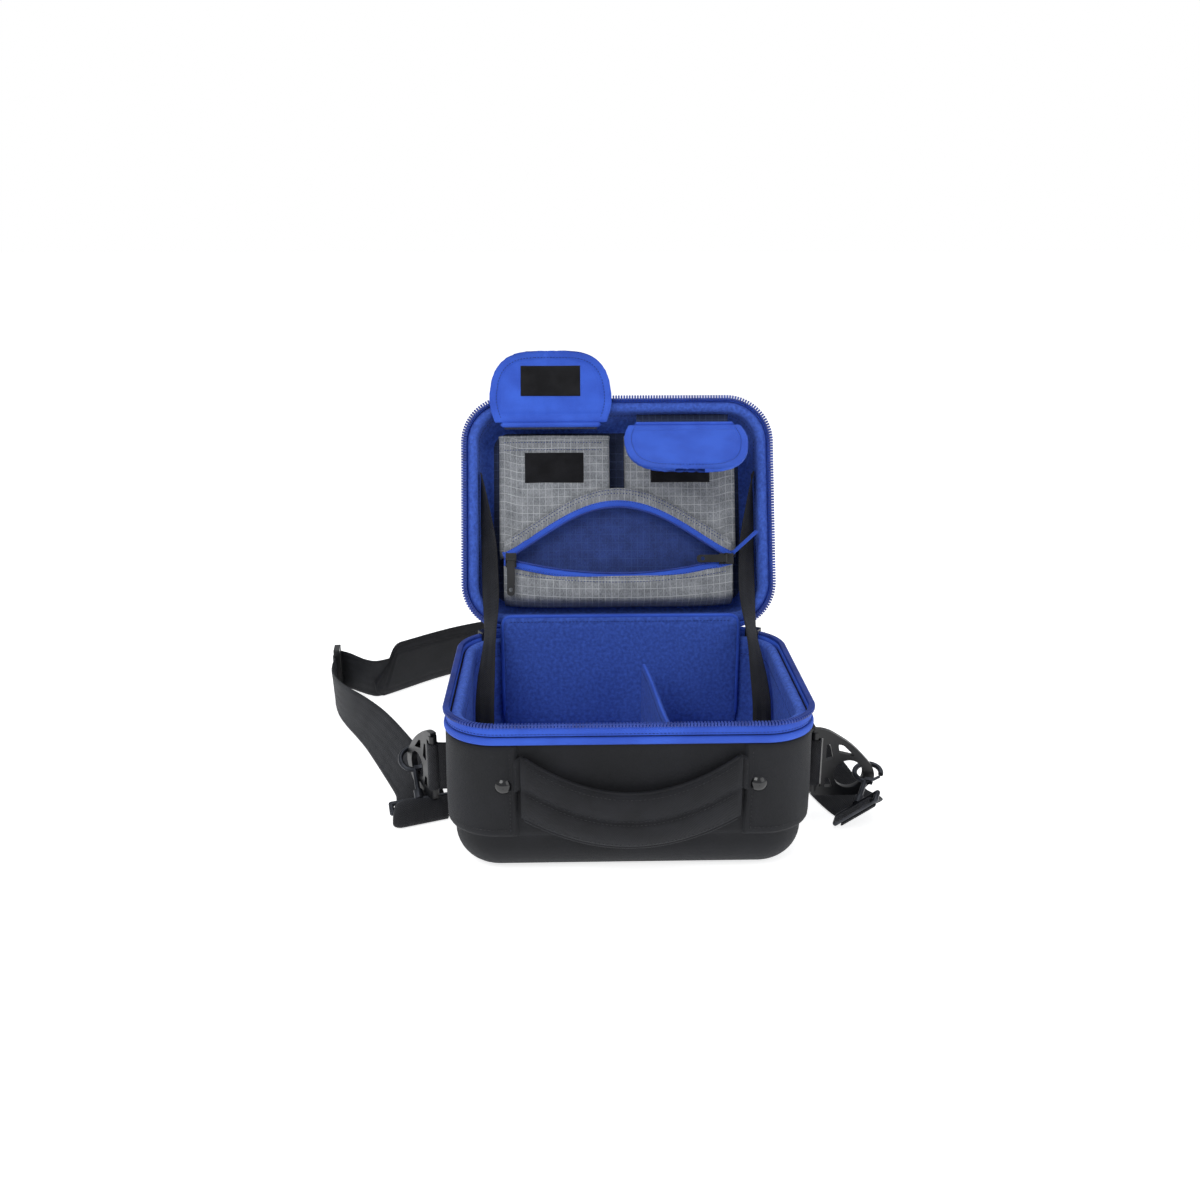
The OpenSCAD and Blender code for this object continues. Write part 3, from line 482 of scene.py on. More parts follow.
def rim(u):
    """Place and outward direction on the rounded rectangle at running length u from the
    middle of the back, going right: one quarter of it, mirrored over both middle lines."""
    u = np.mod(u, AROUND)
    v = AROUND / 4 - np.abs(np.mod(u, AROUND / 2) - AROUND / 4)
    right = np.where(u < AROUND / 2, 1, -1)
    back = np.where(np.abs(u - AROUND / 2) > AROUND / 4, 1, -1)
    g = np.clip((v - SX) / CR, 0, PI / 2)
    x = np.minimum(v, SX) + CR * np.sin(g)
    y = SY + CR * np.cos(g) - np.maximum(v - SX - ARC, 0)
    return right * x, back * y, right * np.sin(g), back * np.cos(g)


def rim_row(u, out, z):
    """A path round the rim, moved out by a distance, at its height, and its outward directions."""
    x, y, nx, ny = rim(u)
    return grid(x + out * nx, y + out * ny, z), grid(nx, ny, 0)


def skin(u, inset, z):
    """Grid round the rim: each profile point is moved in by its inset, at its height."""
    x, y, nx, ny = (q[:, None] for q in rim(u))
    return grid(x - inset * nx, y - inset * ny, z)


def arc(cs, cz, r, a0, a1, n):
    """Profile arc [inset, z] about (cs, cz), angle from outwards, up."""
    a = np.radians(np.linspace(a0, a1, n))
    return grid(cs - r * np.cos(a), cz + r * np.sin(a))


full = np.linspace(0, AROUND, 401)[:-1]
prof = np.vstack([
    [[2.4, 112], [2.4, 104], [2.4, 90], [2.2, 70], [2.3, 50], [2.4, 40], [2.5, 36.5], [3.6, 34]],
    [[4.8, 32.2], [5.0, 30]], arc(31, 26, 26, 0, -90, 14),
])
height = prof[:, 1]
wave = 0.3 * np.sin(full[:, None] / 23 + height / 19) * clamp((height - 40) / 20)
rings = skin(full, prof[:, 0] + wave, prof[:, 1])
base = thicken(surface("base_shell_cloth", rings, shell_cloth, close_u=True, plan=rings), 1.2, -1)
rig.replaces(base, "base_shell")
ride("case_base", base)


# ---------- side panels and rivets ----------
# Each end of the case is wrapped in a raised padded panel from front to back, sewn near
# its edges. A domed rivet sits on each front corner.

def thread(name, slot, dark, light):
    """Twisted sewing thread: a sine along the sum of both directions as its twist."""
    n = Finish(name)
    n.bump(n.wave(n.math("ADD", *n.uv()), 0.0006), 0.0001)
    return n.done(slot, n.mix(n.ramp(n.noise(900, 3), 0.35, 0.65), dark, light), 0.6)


black_thread = thread("black_thread", "webbing", (0.014, 0.0145, 0.016), (0.04, 0.041, 0.046))
navy_thread = thread("navy_thread", "rim_fabric", (0.008, 0.022, 0.12), (0.02, 0.05, 0.24))


def stitches(name, path, normal, mat, pitch=2.6, length=1.8, r=0.32):
    """A row of low six-sided stitches lying on a surface along a path."""
    normal = np.broadcast_to(normal, path.shape)
    run = spaced(path)
    s = np.arange(pitch / 2, run[-1] - pitch / 2, pitch)
    c, n = along(path, run, s), unit(along(normal, run, s))
    d = unit(along(path, run, s + 0.3) - c)
    side = unit(np.cross(n, d))
    ring = np.array([(-1, 0), (-0.55, -1), (0.55, -1), (1, 0), (0.55, 1), (-0.55, 1)])
    foot = c[:, None] + ring[:, :1] * d[:, None] * length / 2 + ring[:, 1:] * side[:, None] * r
    v = np.concatenate([foot, (c + n * r * 1.3)[:, None]], 1)
    k = np.arange(6)
    faces = (7 * np.arange(len(s)))[:, None, None] + grid(k, (k + 1) % 6, 6)
    flat = grid(s[:, None], np.arange(7) * 0.3)
    return mesh(name, v, faces.reshape(-1, 3).tolist(), mat, flat)


def panel(side):
    """A raised panel from 78 mm beside the back's middle to 78 mm beside the front's."""
    u = np.linspace(78.0, AROUND / 2 - 78.0, 170)
    z = np.r_[[33, 33.5, 34.4, 36, 39], np.linspace(44, 96, 14), [100, 102, 103, 103.6]]
    lift = rounded(near_end(u), 3.2)[:, None] * rounded(near_end(z), 4.0)
    dent = 0.45 * bell(near_end(u), 5.5, 1.3)[:, None]
    under = np.interp(z, [33, 36, 40], [4.6, 2.6, 2.4])
    wave = 0.22 * np.sin(u[:, None] / 17 + z / 13) + 0.25 * np.sin(PI * (z - 33) / 70)
    p = skin(u, under - (under + 0.15 + wave - dent) * lift, z)
    turn, name = [side, 1, 1], SIDE[side]
    cloth = surface("side_panel_cloth_" + name, p * turn, shell_cloth, flip=side > 0)
    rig.replaces(cloth, "side_panel_" + name)
    lines = [
        (f"side_panel_seam_{name}_0", np.full(30, u[0] + 5.5), 0, np.linspace(38, 101, 30)),
        (f"side_panel_seam_{name}_1", np.full(30, u[-1] - 5.5), 0, np.linspace(38, 101, 30)),
        (f"side_panel_hem_{name}", np.linspace(u[0] + 5, u[-1] - 5, 160), 0.3, 39.5),
    ]
    ride("case_base", cloth)
    for name, at, out, height in lines:
        q, n = rim_row(at, out, height)
        ride("case_base", stitches(name, q * turn, n * turn, black_thread, 3.0, 2.0))


panel(1)
panel(-1)


def grainy(name, slot, dark, light, scale, depth, rough, metallic=0.0, sheen=0.0, specular=0.5):
    """Moulded or plated surface: fine grain in the bump, slow wear in tone and gloss."""
    n = Finish(name)
    n.bump(n.noise(scale, 4), depth)
    worn = n.noise(70, 4)
    r = n.mad(worn, 0.22, rough - 0.11)
    return n.done(slot, n.mix(n.ramp(worn, 0.35, 0.7), dark, light), r, sheen, metallic, specular)


def harden(name, mat, width=0.0):
    """Gives a kept solid its finish and, where it has sharp edges, a small round."""
    o = NODES[name]
    o.data.materials.clear()
    o.data.materials.append(mat)
    if width:
        w = o.modifiers.new("weld", "WELD")
        w.merge_threshold = 0.00001
        m = o.modifiers.new("soft edges", "BEVEL")
        m.width = width / 1000
        m.segments = 3
        m.limit_method = "ANGLE"
        m.angle_limit = np.radians(40)
        m.harden_normals = True


enamel = grainy(
    "rivet_enamel", "moulded_plastic", (0.003, 0.0034, 0.004), (0.006, 0.0065, 0.008),
    900, 0.00001, 0.17, specular=0.6,
)
harden("rivets", enamel)


# ---------- rim: piping, zip tape and teeth on both halves ----------
# A blue piping roll edges each half. Above it a padded zip tape carries a row of nylon
# teeth. The lid's set is the base's turned over the hinge line.

rim_cloth = woven(
    "rim_cloth", "rim_fabric", (0.026, 0.08, 0.5), (0.044, 0.128, 0.68),
    0.0015, 0.00016, 0.7, 0.12, AZURE, twill=True, blotch=30,
)
coil_plastic = grainy(
    "coil_plastic", "coil_nylon", (0.009, 0.028, 0.2), (0.018, 0.055, 0.34), 1500, 0.00005, 0.5,
)
HINGE_Y, HINGE_Z, OPEN = 98.5, 119, np.radians(112)
ZIP_START, TOOTH_PITCH = 90.0, 2.3
zip_u = np.linspace(ZIP_START, AROUND - ZIP_START, 320)


def to_lid(p):
    """Closed lid, hinge at the origin, turned back by the opening angle."""
    c, s = np.cos(OPEN), np.sin(OPEN)
    x, y, z = np.moveaxis(p, -1, 0)
    return grid(x, HINGE_Y + (y * c + z * s), HINGE_Z + (z * c - y * s))


def in_lid(x, v, d):
    """Place in the lid: x, distance v from the hinge, depth d behind the zip plane."""
    return to_lid(grid(x, np.negative(v), d))


LID_OUT = in_lid(0, 0, -1) - in_lid(0, 0, 0)
LID_UP = in_lid(0, 1, 0) - in_lid(0, 0, 0)


def over_base(p):
    return p


def over_lid(p):
    """The base's rim turned over the zip plane into the open lid."""
    return to_lid(p * [1, 1, -1] + [0, -HINGE_Y, HINGE_Z])


def roll(s0, z0, s1, z1, out, n=11):
    """Section of a padded strip: a half round between two heights, flat behind."""
    a = np.linspace(0, PI, n)
    face = grid(s0 - out * np.sin(a) ** 0.7, z0 + (z1 - z0) * (1 - np.cos(a)) / 2)
    return np.vstack([face, [[s1, z1 - 0.3], [s1, z0 + 0.3]]])


def strip_round(name, section, place, node, body):
    """A padded strip round the rim with this section, drawn to a thin end at both sides."""
    p = skin(zip_u, section[:, 0], section[:, 1])
    end = np.clip(near_end(zip_u) / 2, 0.02, 1)[:, None, None] ** 0.5
    p = p.mean(1, keepdims=True) * (1 - end) + p * end
    obj = surface(name, place(p), rim_cloth, close_v=True, flip=place is over_base)
    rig.replaces(obj, node)
    ride(body, obj)


def rim_set(place, body, half):
    """Piping, tape and teeth of one half. A tooth is a seven-sided bar across the tape's edge."""
    piping, tape = roll(0.5, 103.7, 3.2, 109.1, 1.5), roll(1.3, 109.7, 3.2, 117.0, 0.8)
    strip_round(half + "_piping_roll", piping, place, half + "_piping", body)
    strip_round(half + "_tape_strip", tape, place, half + "_zip_tape", body)
    seam, n = rim_row(zip_u, -0.5, 111.4)
    a, b = place(seam), place(seam + n)
    row = stitches(half + "_tape_seam", a, b - a, navy_thread, 2.6, 1.7, 0.28)
    s = np.arange(zip_u[0] + 18, zip_u[-1] - 18, TOOTH_PITCH)
    x, y, nx, ny = (q[:, None, None] for q in rim(s))
    sec = np.array([
        (0.3, 116.2), (-1.3, 116.8), (-1.4, 118.2), (-0.7, 118.9), (2.9, 118.9), (3.3, 117.9), (3.2, 116.2),
    ])
    w = np.array([[-0.72], [0.72]])
    i, z = sec.T
    v = place(grid(x - i * nx - w * ny, y - i * ny + w * nx, z))
    m, k = len(sec), np.arange(len(sec))
    walls = np.stack([k, (k + 1) % m, m + (k + 1) % m, m + k], -1)
    ends = [[0, 6, 5, 4], [0, 4, 3, 1], [1, 3, 2, 2], [7, 11, 12, 13], [7, 8, 10, 11], [8, 9, 10, 10]]
    faces = (2 * m * np.arange(len(s)))[:, None, None] + np.vstack([walls, ends])
    order = slice(None, None, -1 if place is over_base else 1)
    faces = [list(dict.fromkeys(f))[order] for f in faces.reshape(-1, 4).tolist()]
    teeth = mesh(half + "_zip_teeth", v, faces, coil_plastic, smooth=False)
    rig.replaces(teeth, half + "_zip_coil")
    ride(body, row, teeth)


rim_set(over_base, "case_base", "base")
rim_set(over_lid, "lid", "lid")


# ---------- base lining ----------
# Bright blue brushed knit over foam: a broad soft roll behind the zip, plain walls and a
# rounded floor, in one piece.

lining_cloth = woven(
    "lining_cloth", "lining_fabric", (0.034, 0.082, 0.4), (0.07, 0.158, 0.68),
    0.0012, 0.00022, 0.85, 0.16, AZURE, blotch=380, fluff=0.6,
)
prof = np.vstack([
    [[4.35, 104], [4.3, 110.8]], arc(8.25, 111.2, 3.98, 0, 180, 16)[1:], [[12.25, 106], [12.2, 98]],
    [[12.2, 80], [12.2, 60], [12.3, 44], [13.2, 38], [14.4, 33]], arc(31, 26, 16.4, 0, -90, 10),
])
ripple = 0.25 * np.sin(full / 31) + 0.2 * np.sin(full / 17 + 1)
wall = clamp((108 - prof[:, 1]) / 30) * clamp((prof[:, 1] - 30) / 20)
inset = prof[:, 0] + ripple[:, None] * np.where(prof[:, 0] > 8.6, wall + 0.3, 0)
rings = skin(full, inset, prof[:, 1])
lining = surface("base_lining_cloth", rings, lining_cloth, close_u=True, flip=True, plan=rings)
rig.replaces(lining, "base_lining")
seam, n = rim_row(full, -12.3, 101.5)
ride("case_base", lining, stitches("base_lining_seam", seam, -n, navy_thread, 3.0, 2.0))


# ---------- lid shell and lining ----------
# The lid is moulded like the base, in the same cloth. Inside, the roll and walls are the
# same knit; the back wall behind the pockets is a dark blue-grey ripstop.

TO_HINGE = [0, -HINGE_Y, 0]
prof = np.vstack([
    [[2.4, 6], [2.4, 14], [1.2, 15.6], [0.1, 16.4], [0, 18], [0, 22]], arc(24, 22, 24, 0, 90, 16),
])
rings = skin(full, prof[:, 0], prof[:, 1]) + TO_HINGE
shell = surface("lid_shell_cloth", to_lid(rings), shell_cloth, close_u=True, flip=True, plan=rings)
thicken(shell, 1.2, -1)
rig.replaces(shell, "lid_shell")


def ripstop(name, slot, dark, light, line, strength):
    """Heathered cloth with a grid of lighter threads, 5.4 by 7 mm, uneven in brightness."""
    n = Finish(name)
    u, v = n.uv()
    across = n.ramp(n.math("PINGPONG", u, 0.0027), 0.0004, 0.0001)
    down = n.ramp(n.math("PINGPONG", v, 0.0035), 0.0004, 0.0001)
    lines = n.math("MAXIMUM", n.math("MULTIPLY", across, 0.8), down)
    patchy = n.ramp(n.noise(45, 3, "UV"), 0.3, 0.6)
    flecks, clouds = n.noise(1500, 2, "UV", (1, 0.35, 1)), n.math("MULTIPLY", n.noise(90, 3, "UV"), 0.4)
    grain = n.mad(flecks, 0.6, clouds)
    cloth = n.mix(n.ramp(grain, 0.36, 0.64), dark, light)
    n.bump(n.mad(lines, 1.2, n.noise(2600, 2)), 0.00014)
    shown = n.math("MULTIPLY", lines, n.mad(patchy, 0.5, strength))
    return n.done(slot, n.mix(shown, cloth, line), 0.7, 0.06)


liner_cloth = ripstop(
    "liner_cloth", "lining_fabric", (0.012, 0.02, 0.055), (0.028, 0.042, 0.1), (0.07, 0.1, 0.2), 0.3,
)
prof = np.vstack([
    [[3.3, 14], [3.25, 7.0]], arc(7.75, 6.6, 4.5, 0, -180, 18)[1:], [[12.25, 13], [12.2, 22]],
    arc(24, 22, 11.8, 0, 90, 10)[1:],
])
rings = skin(full, prof[:, 0], prof[:, 1]) + TO_HINGE
inside = surface("lid_lining_cloth", to_lid(rings), lining_cloth, close_u=True, plan=rings)
inside.data.materials.append(liner_cloth)
inside.data.polygons[-1].material_index = 1
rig.replaces(inside, "lid_lining")
seam, n = rim_row(full, -12.3, 17.5)
a, b = to_lid(seam + TO_HINGE), to_lid(seam + TO_HINGE - n)
ride("lid", shell, inside, stitches("lid_lining_seam", a, b - a, navy_thread, 3.0, 2.0))


# ---------- fabric hinge ----------
# One strip of tape cloth, sewn along the back of both halves, bends where the lid turns.


def smooth_path(points, per=8):
    """Catmull-Rom curve through the points, per places between each two."""
    p = np.asarray(points, float)
    q = np.vstack([2 * p[0] - p[1], p, 2 * p[-1] - p[-2]])
    a, b, c, d = (q[k : k + len(p) - 1, None] for k in range(4))
    t = np.linspace(0, 1, per, endpoint=False)[None, :, None]
    x = 0.5 * (2 * b + (c - a) * t + (2 * a - 5 * b + 4 * c - d) * t**2 + (3 * b - a - 3 * c + d) * t**3)
    return np.vstack([x.reshape(-1, p.shape[1]), p[-1:]])


yz = smooth_path([
    [96.6, 104.2], [97.3, 108], [97.7, 113], [98.6, 117.5], [99.9, 119.2], [102.3, 118.6],
    [106.5, 117.0], [110.6, 115.3], [112.6, 114.2],
], 6)
x = np.linspace(-106, 106, 70)[:, None]
y = yz[:, 0] - np.clip(np.abs(x) - ZIP_START, 0, None) ** 2 / 90
hinge = thicken(surface("hinge_strip", grid(x, y, yz[:, 1]), rim_cloth), 1.2)
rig.replaces(hinge, "hinge_web_base", "hinge_web_lid")
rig.blend(hinge, "case_base", "lid", start=(0, 0.0975, 0.1155), end=(0, 0.1005, 0.1185))


# ---------- lid pockets ----------
# Two open-topped pockets of heathered grey ripstop, pleated at the sides and sewn to the
# back wall, each with a turned hem and a black loop patch.

pocket_cloth = ripstop(
    "pocket_cloth", "pocket_cloth", (0.115, 0.123, 0.135), (0.28, 0.292, 0.31), (0.46, 0.475, 0.49), 0.4,
)
loop_cloth = grainy(
    "loop_cloth", "loop_patch", (0.0035, 0.0035, 0.0045), (0.011, 0.011, 0.013),
    2200, 0.0005, 0.92, sheen=0.06, specular=0.2,
)
MOUTH, LIP, WALL = 96, 60, 33  # zip pocket's half width and lip height; depth of the lid's back wall
POCKET_LOW, POCKET_TOP = 62, 165


def tube(name, path, radius, mat, sides=10, closed=False, up=(0, 0, 1)):
    """A round cord: a circle of the radius swept along the path."""
    d = unit(np.roll(path, -1, 0) - np.roll(path, 1, 0) if closed else np.gradient(path, axis=0))
    side = unit(np.cross(d, up))
    other = np.cross(side, d)
    a = np.linspace(0, 2 * PI, sides, endpoint=False)[None, :, None]
    r = (radius + np.zeros(len(path)))[:, None, None]
    if not closed:
        r[[0, -1]] *= 0.05
    p = path[:, None] + r * (np.cos(a) * side[:, None] + np.sin(a) * other[:, None])
    return surface(name, p, mat, close_u=closed, close_v=True)


def lip_low(x):
    """The zip pocket's lower lip sags 14 mm below its ends."""
    return LIP - 14 * (1 - (x / MOUTH) ** 2)


def lip_top(x):
    """Its upper lip arches 44 mm above them."""
    return LIP + 44 * np.cos(PI / 2 * np.clip(x / MOUTH, -1, 1)) ** 1.2


def sunk(x, v):
    """How far cloth lies back behind the mouth: a smooth step of 12 mm below the arch."""
    s = clamp((lip_top(x) + 8 - v) / 16)
    return 12 * s * s * (3 - 2 * s)


def patch(name, place, node, body):
    """A 50 by 26 mm patch of loops with rounded edges, laid by the place given."""
    a, b = (np.sin(np.linspace(-PI / 2, PI / 2, n)) for n in (34, 22))
    a = a[:, None]
    edge = clamp((1 - np.abs(a)) * 25 / 1.6) * clamp((1 - np.abs(b)) * 13 / 1.6)
    obj = surface(name, place(25 * a, 13 * b, edge**0.5), loop_cloth)
    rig.replaces(obj, node)
    ride(body, obj)


def pocket(side):
    """Pleated side, rounded edge, front, edge and side; lower, the front sinks behind the mouth."""
    mid, half, name = side * 53.5, 46.5, SIDE[side] + "_pocket"
    back = np.linspace(WALL, 17.5, 6)
    turn = np.radians(np.linspace(0, 90, 5))[1:]
    sx = np.r_[0 * back, 2 * (1 - np.cos(turn))]
    sd = np.r_[back, 17 - 2 * np.sin(turn)]
    xs = np.r_[sx, np.linspace(2, 2 * half - 2, 60)[1:-1], 2 * half - sx[::-1]] - half
    ds = np.r_[sd, np.full(58, 15.0), sd[::-1]][:, None]
    v = np.r_[
        [POCKET_LOW, 62.4, 63.5], np.linspace(66, 160, 60), [162, 164, POCKET_TOP],
    ]

    def bow(x, v):
        """Front's fullness: one long bulge, the mouth standing off a little."""
        k = 1 - ((x - mid) / half) ** 2
        r = clamp((v - POCKET_LOW) / (POCKET_TOP - POCKET_LOW))
        return 2.6 * k * np.sin(PI * r**0.8) ** 0.8 + 1.8 * k * r**6

    X, V = np.broadcast_arrays(mid + xs[:, None], v)
    across = clamp(1 - (xs / half) ** 2)[:, None]
    broad = 0.35 * np.sin(X / 9 + V / 14) * np.sin(V / 11 + 2)
    crease = (broad + 0.5 * np.sin(V / 4.5 + X / 30) * bell(V, 118, 14)) * across
    deep = WALL - (WALL - ds) * (18 - sunk(X, V)) / 18 - (bow(X, V) + crease) * (ds < 16)
    p = in_lid(X, V, deep)
    obj = thicken(surface(name + "_cloth", p, pocket_cloth), 0.9)
    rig.replaces(obj, name)
    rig.sheet(obj, flat=(0.125, 0.107), held="stretched", rests_on=["lid_lining"])
    ride("lid", obj, tube(name + "_hem", p[:, -1], 1.1, pocket_cloth))
    for i, j in enumerate((-4, -8)):
        q = p[10:-10, j] + LID_OUT * 0.5
        ride("lid", stitches(f"{name}_seam_{i}", q, LID_OUT, navy_thread, 2.4, 1.6, 0.3))

    def on_front(x, v, h):
        x, v = mid + x, 138 + v
        return in_lid(x, v, 15 - bow(x, v) - 0.5 - 1.1 * h)

    patch(name + "_patch", on_front, "pocket_patches", "lid")


pocket(-1)
pocket(1)


# ---------- zip pocket ----------
# Across the lid's lower part: a full pouch of the same ripstop, its mouth a long zip. The
# lower lip sags, the upper lip is arched, and the mouth gapes on to a lining painted dark as shade.


def cut_size(p):
    """A grid's cut size in metres: its longest run each way, and its area from its cells."""
    a, b = np.diff(p, axis=0)[:, :-1], np.diff(p, axis=1)[:-1]
    area = np.linalg.norm(np.cross(a, b), axis=-1).sum() / 1e6
    return {"flat": (spaced(p)[-1].max() / 1000, spaced(p, 1)[:, -1].max() / 1000), "area": area}


def zip_seams(name, p, columns):
    """Two rows of stitches along a sheet of the pocket."""
    return [
        stitches(f"{name}_{k}", p[:, j] + LID_OUT * lift, LID_OUT, navy_thread)
        for k, (j, lift) in enumerate(columns)
    ]


px = np.linspace(-MOUTH, MOUTH, 120)[:, None]
t = np.linspace(0, 1, 44)
low = 19.5 + 2.5 * np.abs(px / MOUTH) ** 6
vv = low + (lip_low(px) - low) * t
mid_x = 1 - (px / MOUTH) ** 2
front = 2 + 5 * np.abs(px / MOUTH) ** 6 - 3 * mid_x
belly = 4.2 * mid_x * np.sin(PI * t**0.85)
lines = vv / 4.6 + 0.9 * np.sin(px / 37) + px / 90
folds = 0.75 * np.sin(lines) * np.sin(px / 27 + 0.8) * (0.25 + t) * clamp(mid_x * 2.5)
dent = 1.6 * bell(vv, 34 + (px - 40) * 0.16, 3.2) * bell(px, 58, 26)
deep = front - belly - folds + dent + 16 * (1 - clamp(t / 0.22)) ** 2.2
p = in_lid(px, vv, deep)
lower = p[:, -1]
pouch = thicken(surface("zip_pocket_cloth", p, pocket_cloth, flip=True), 0.9)
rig.replaces(pouch, "zip_pocket")
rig.sheet(pouch, held="stretched", rests_on=["lid_lining"], **cut_size(p))
ride("lid", pouch, *zip_seams("zip_pocket_seam", p[3:-3], ((-7, 0.55), (-13, 0.55))))

# The pouch's back seen through the mouth: blue ripstop darkened as painted shade deep in the pouch.
mouth_shade_cloth = ripstop(
    "mouth_shade_cloth", "pocket_cloth", (0.012, 0.026, 0.12), (0.026, 0.056, 0.24), (0.04, 0.08, 0.26), 0.25,
)
vv = 26 + (lip_top(px) + 2 - 26) * np.linspace(0, 1, 30)
p = in_lid(px, vv, 10.6 + 0.95 * sunk(px, vv))
back = thicken(surface("zip_pocket_back_cloth", p, mouth_shade_cloth, flip=True), 0.6)
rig.replaces(back, "zip_pocket_top")
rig.sheet(back, held="stretched", rests_on=["lid_lining"], **cut_size(p))
t = np.linspace(0, 1, 16)
crown = np.sin(PI * t)
gather = bell(px, -78, 12) * np.sin(px / 1.9) * 0.8
deep = 11.4 - 1.4 * crown - 0.6 * t**3 + gather * crown**2
p = in_lid(px, lip_top(px) + 4.6 + 11.4 * t, deep)
fascia = thicken(surface("zip_pocket_fascia_cloth", p, pocket_cloth, flip=True), 0.8)
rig.replaces(fascia, "zip_pocket_top")
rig.sheet(fascia, held="stretched", rests_on=["zip_pocket_back_cloth"], **cut_size(p))
ride("lid", back, fascia, *zip_seams("zip_fascia_seam", p[4:-4], ((9, 0.5), (13, 0.5))))


def zip_strip(name, edge, away, width=6.0):
    """Tape along an edge of the mouth with its row of coil: beads 1.5 mm apart."""
    away = unit(away)
    s = np.linspace(0, width, 7)
    lift = 0.9 + 0.5 * np.sin(PI * s / width)
    p = edge[:, None] + s[:, None] * away[:, None] + lift[:, None] * LID_OUT
    tape = thicken(surface(name + "_tape", p, rim_cloth), 0.7)
    run = spaced(edge)
    fine = np.arange(0, run[-1], 0.3)
    c, w = along(edge, run, fine), along(away, run, fine)
    bead = 0.75 + 0.25 * np.sin(2 * PI * fine / 1.5)
    path = c + LID_OUT * 1.5 - unit(w) * 0.3
    coil = tube(name + "_coil", path, bead, coil_plastic, 8, up=(0.1, 0.3, 1))
    seam = edge + away * 4.6 + LID_OUT * 1.5
    return [tape, coil, stitches(name + "_seam", seam, LID_OUT, navy_thread, 2.4, 1.6, 0.28)]


px = px[:, 0]
parts = zip_strip("zip_lower", lower, np.broadcast_to(-LID_UP, lower.shape))
arch = in_lid(px, lip_top(px), 12.0)
rise = unit(np.cross(LID_OUT, heading(arch)))
parts += zip_strip("zip_upper", arch, rise * np.sign(rise[60] @ LID_UP))
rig.replaces(parts[0], "pocket_zip")

# The zip's end: a folded tab of tape, 26 mm long, that stands out at 42 degrees
s = np.linspace(0, 26, 24)[:, None]
c, k = np.cos(np.radians(42)), np.sin(np.radians(42))
w = np.linspace(-1, 1, 9)
curl = 2.2 * (1 - w**2)
deep = np.interp(s, [0, 8, 26], [4.5, 0, -5]) + w * np.interp(s, [0, 8, 26], [3.3, 3, 4])
tab = in_lid(96.6 + s * c - curl * k, 62 + s * k + curl * c, deep)
tab = thicken(surface("zip_stub", tab, rim_cloth), 1.2)
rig.replaces(tab, "pocket_tab")
ride("lid", *parts, tab)


# ---------- pocket flaps ----------
# A thin padded flap for each pocket, bound round its edge, sewn to the lid by a neck strip
# and folding at a small roll. A hook patch on its face meets the pocket's patch.

flap_cloth = woven(
    "flap_cloth", "flap_fabric", (0.024, 0.078, 0.5), (0.042, 0.128, 0.68),
    0.0009, 0.00012, 0.6, 0.12, AZURE, blotch=40,
)
CREASE = 171.5  # the fold's distance from the hinge
FLAP = np.array([
    [0, 45.5], [3, 47], [10, 49.5], [18, 51.2], [26, 51.2], [38, 49.4], [46, 46.5], [52, 42.5],
    [57, 37.0], [60.5, 30], [62.4, 22], [63, 12],
])


def flap(name, mid, angle, body):
    """Two crowned faces over the outline FLAP [distance, half width], pressed in at the seam."""
    a = np.radians(angle)

    def put(x, t, h):
        """x along the crease, t away from it, h out of the face turned to the pocket."""
        y, z = -t * np.cos(a) - h * np.sin(a), -t * np.sin(a) + h * np.cos(a)
        return to_lid(grid(mid + x, y - CREASE, z - 3.5))

    def warp(x, t):
        """A slow wave in the board, growing away from the crease."""
        return 0.9 * np.sin(x / 22 + t / 30) * clamp(t / 40)

    t = np.r_[np.linspace(1.9, 50, 44), 50 + 13 * np.sin(np.linspace(0, PI / 2, 18))[1:]]
    w = np.interp(t, FLAP[:, 0], FLAP[:, 1])
    line = smooth_path(np.r_[grid(-w, t), grid(w, t)[::-1]][::2], 3)
    x = np.sin(np.linspace(-PI / 2, PI / 2, 84))[:, None] * w
    inner = np.sqrt((x[..., None] - line[::2, 0]) ** 2 + (t[:, None] - line[::2, 1]) ** 2).min(-1)
    inner = np.minimum(inner, np.maximum(t - 1.9, 0))
    h = 0.5 + 1.35 * clamp(inner / 2.2) ** 0.5 - 0.7 * bell(inner, 7.4, 1.1)
    up, under = put(x, t, warp(x, t) - h), put(x, t, warp(x, t) + h)
    pad = surface(name + "_pad", np.concatenate([up, under[::-1]], 0), flap_cloth, close_u=True)
    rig.replaces(pad, name)
    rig.padded(pad, 0.5)
    ride(body, pad)
    e = heading(line)
    x, t = (line + 5.9 * np.stack([e[:, 1], -e[:, 0]], -1)).T
    x, t = x[t > 5], t[t > 5]
    for k, g in enumerate((-1, 1)):
        q, n = put(x, t, warp(x, t) + g * 1.75), put(0, 0, g) - put(0, 0, 0)
        ride(body, stitches(f"{name}_seam_{k}", q, n, navy_thread))

    def on_face(x, v, h):
        return put(x, 37 + v, warp(x, 37 + v) - 1.85 - 0.95 * h)

    patch(name + "_patch_cloth", on_face, name + "_patch", body)
    x = np.linspace(-42, 42, 50)[:, None]
    q = np.linspace(0, 2 * PI, 14, endpoint=False)
    r = 2.1 * np.clip((42 - np.abs(x)) / 1.5, 0.05, 1) ** 0.5
    crease = in_lid(mid + x, CREASE + r * np.cos(q), -3.5 + r * np.sin(q))
    crease = surface(name + "_crease_roll", crease, flap_cloth, close_v=True)
    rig.replaces(crease, name.replace("flap", "crease"))
    ride(body, crease)
    strip = smooth_path([
        [CREASE, -2.6], [CREASE - 0.3, 3], [CREASE - 0.2, 8], [CREASE + 1.6, 12], [178, 13.8], [183.7, 14.4],
    ], 5)
    neck = in_lid(mid + x * 0.93, strip[:, 0], strip[:, 1])
    # The neck takes the dark blue-grey ripstop, not the flap's blue, as painted shade so that it recedes.
    neck = thicken(surface(name + "_neck_cloth", neck, liner_cloth), 2.0)
    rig.replaces(neck, name + "_neck")
    ride("lid", neck)


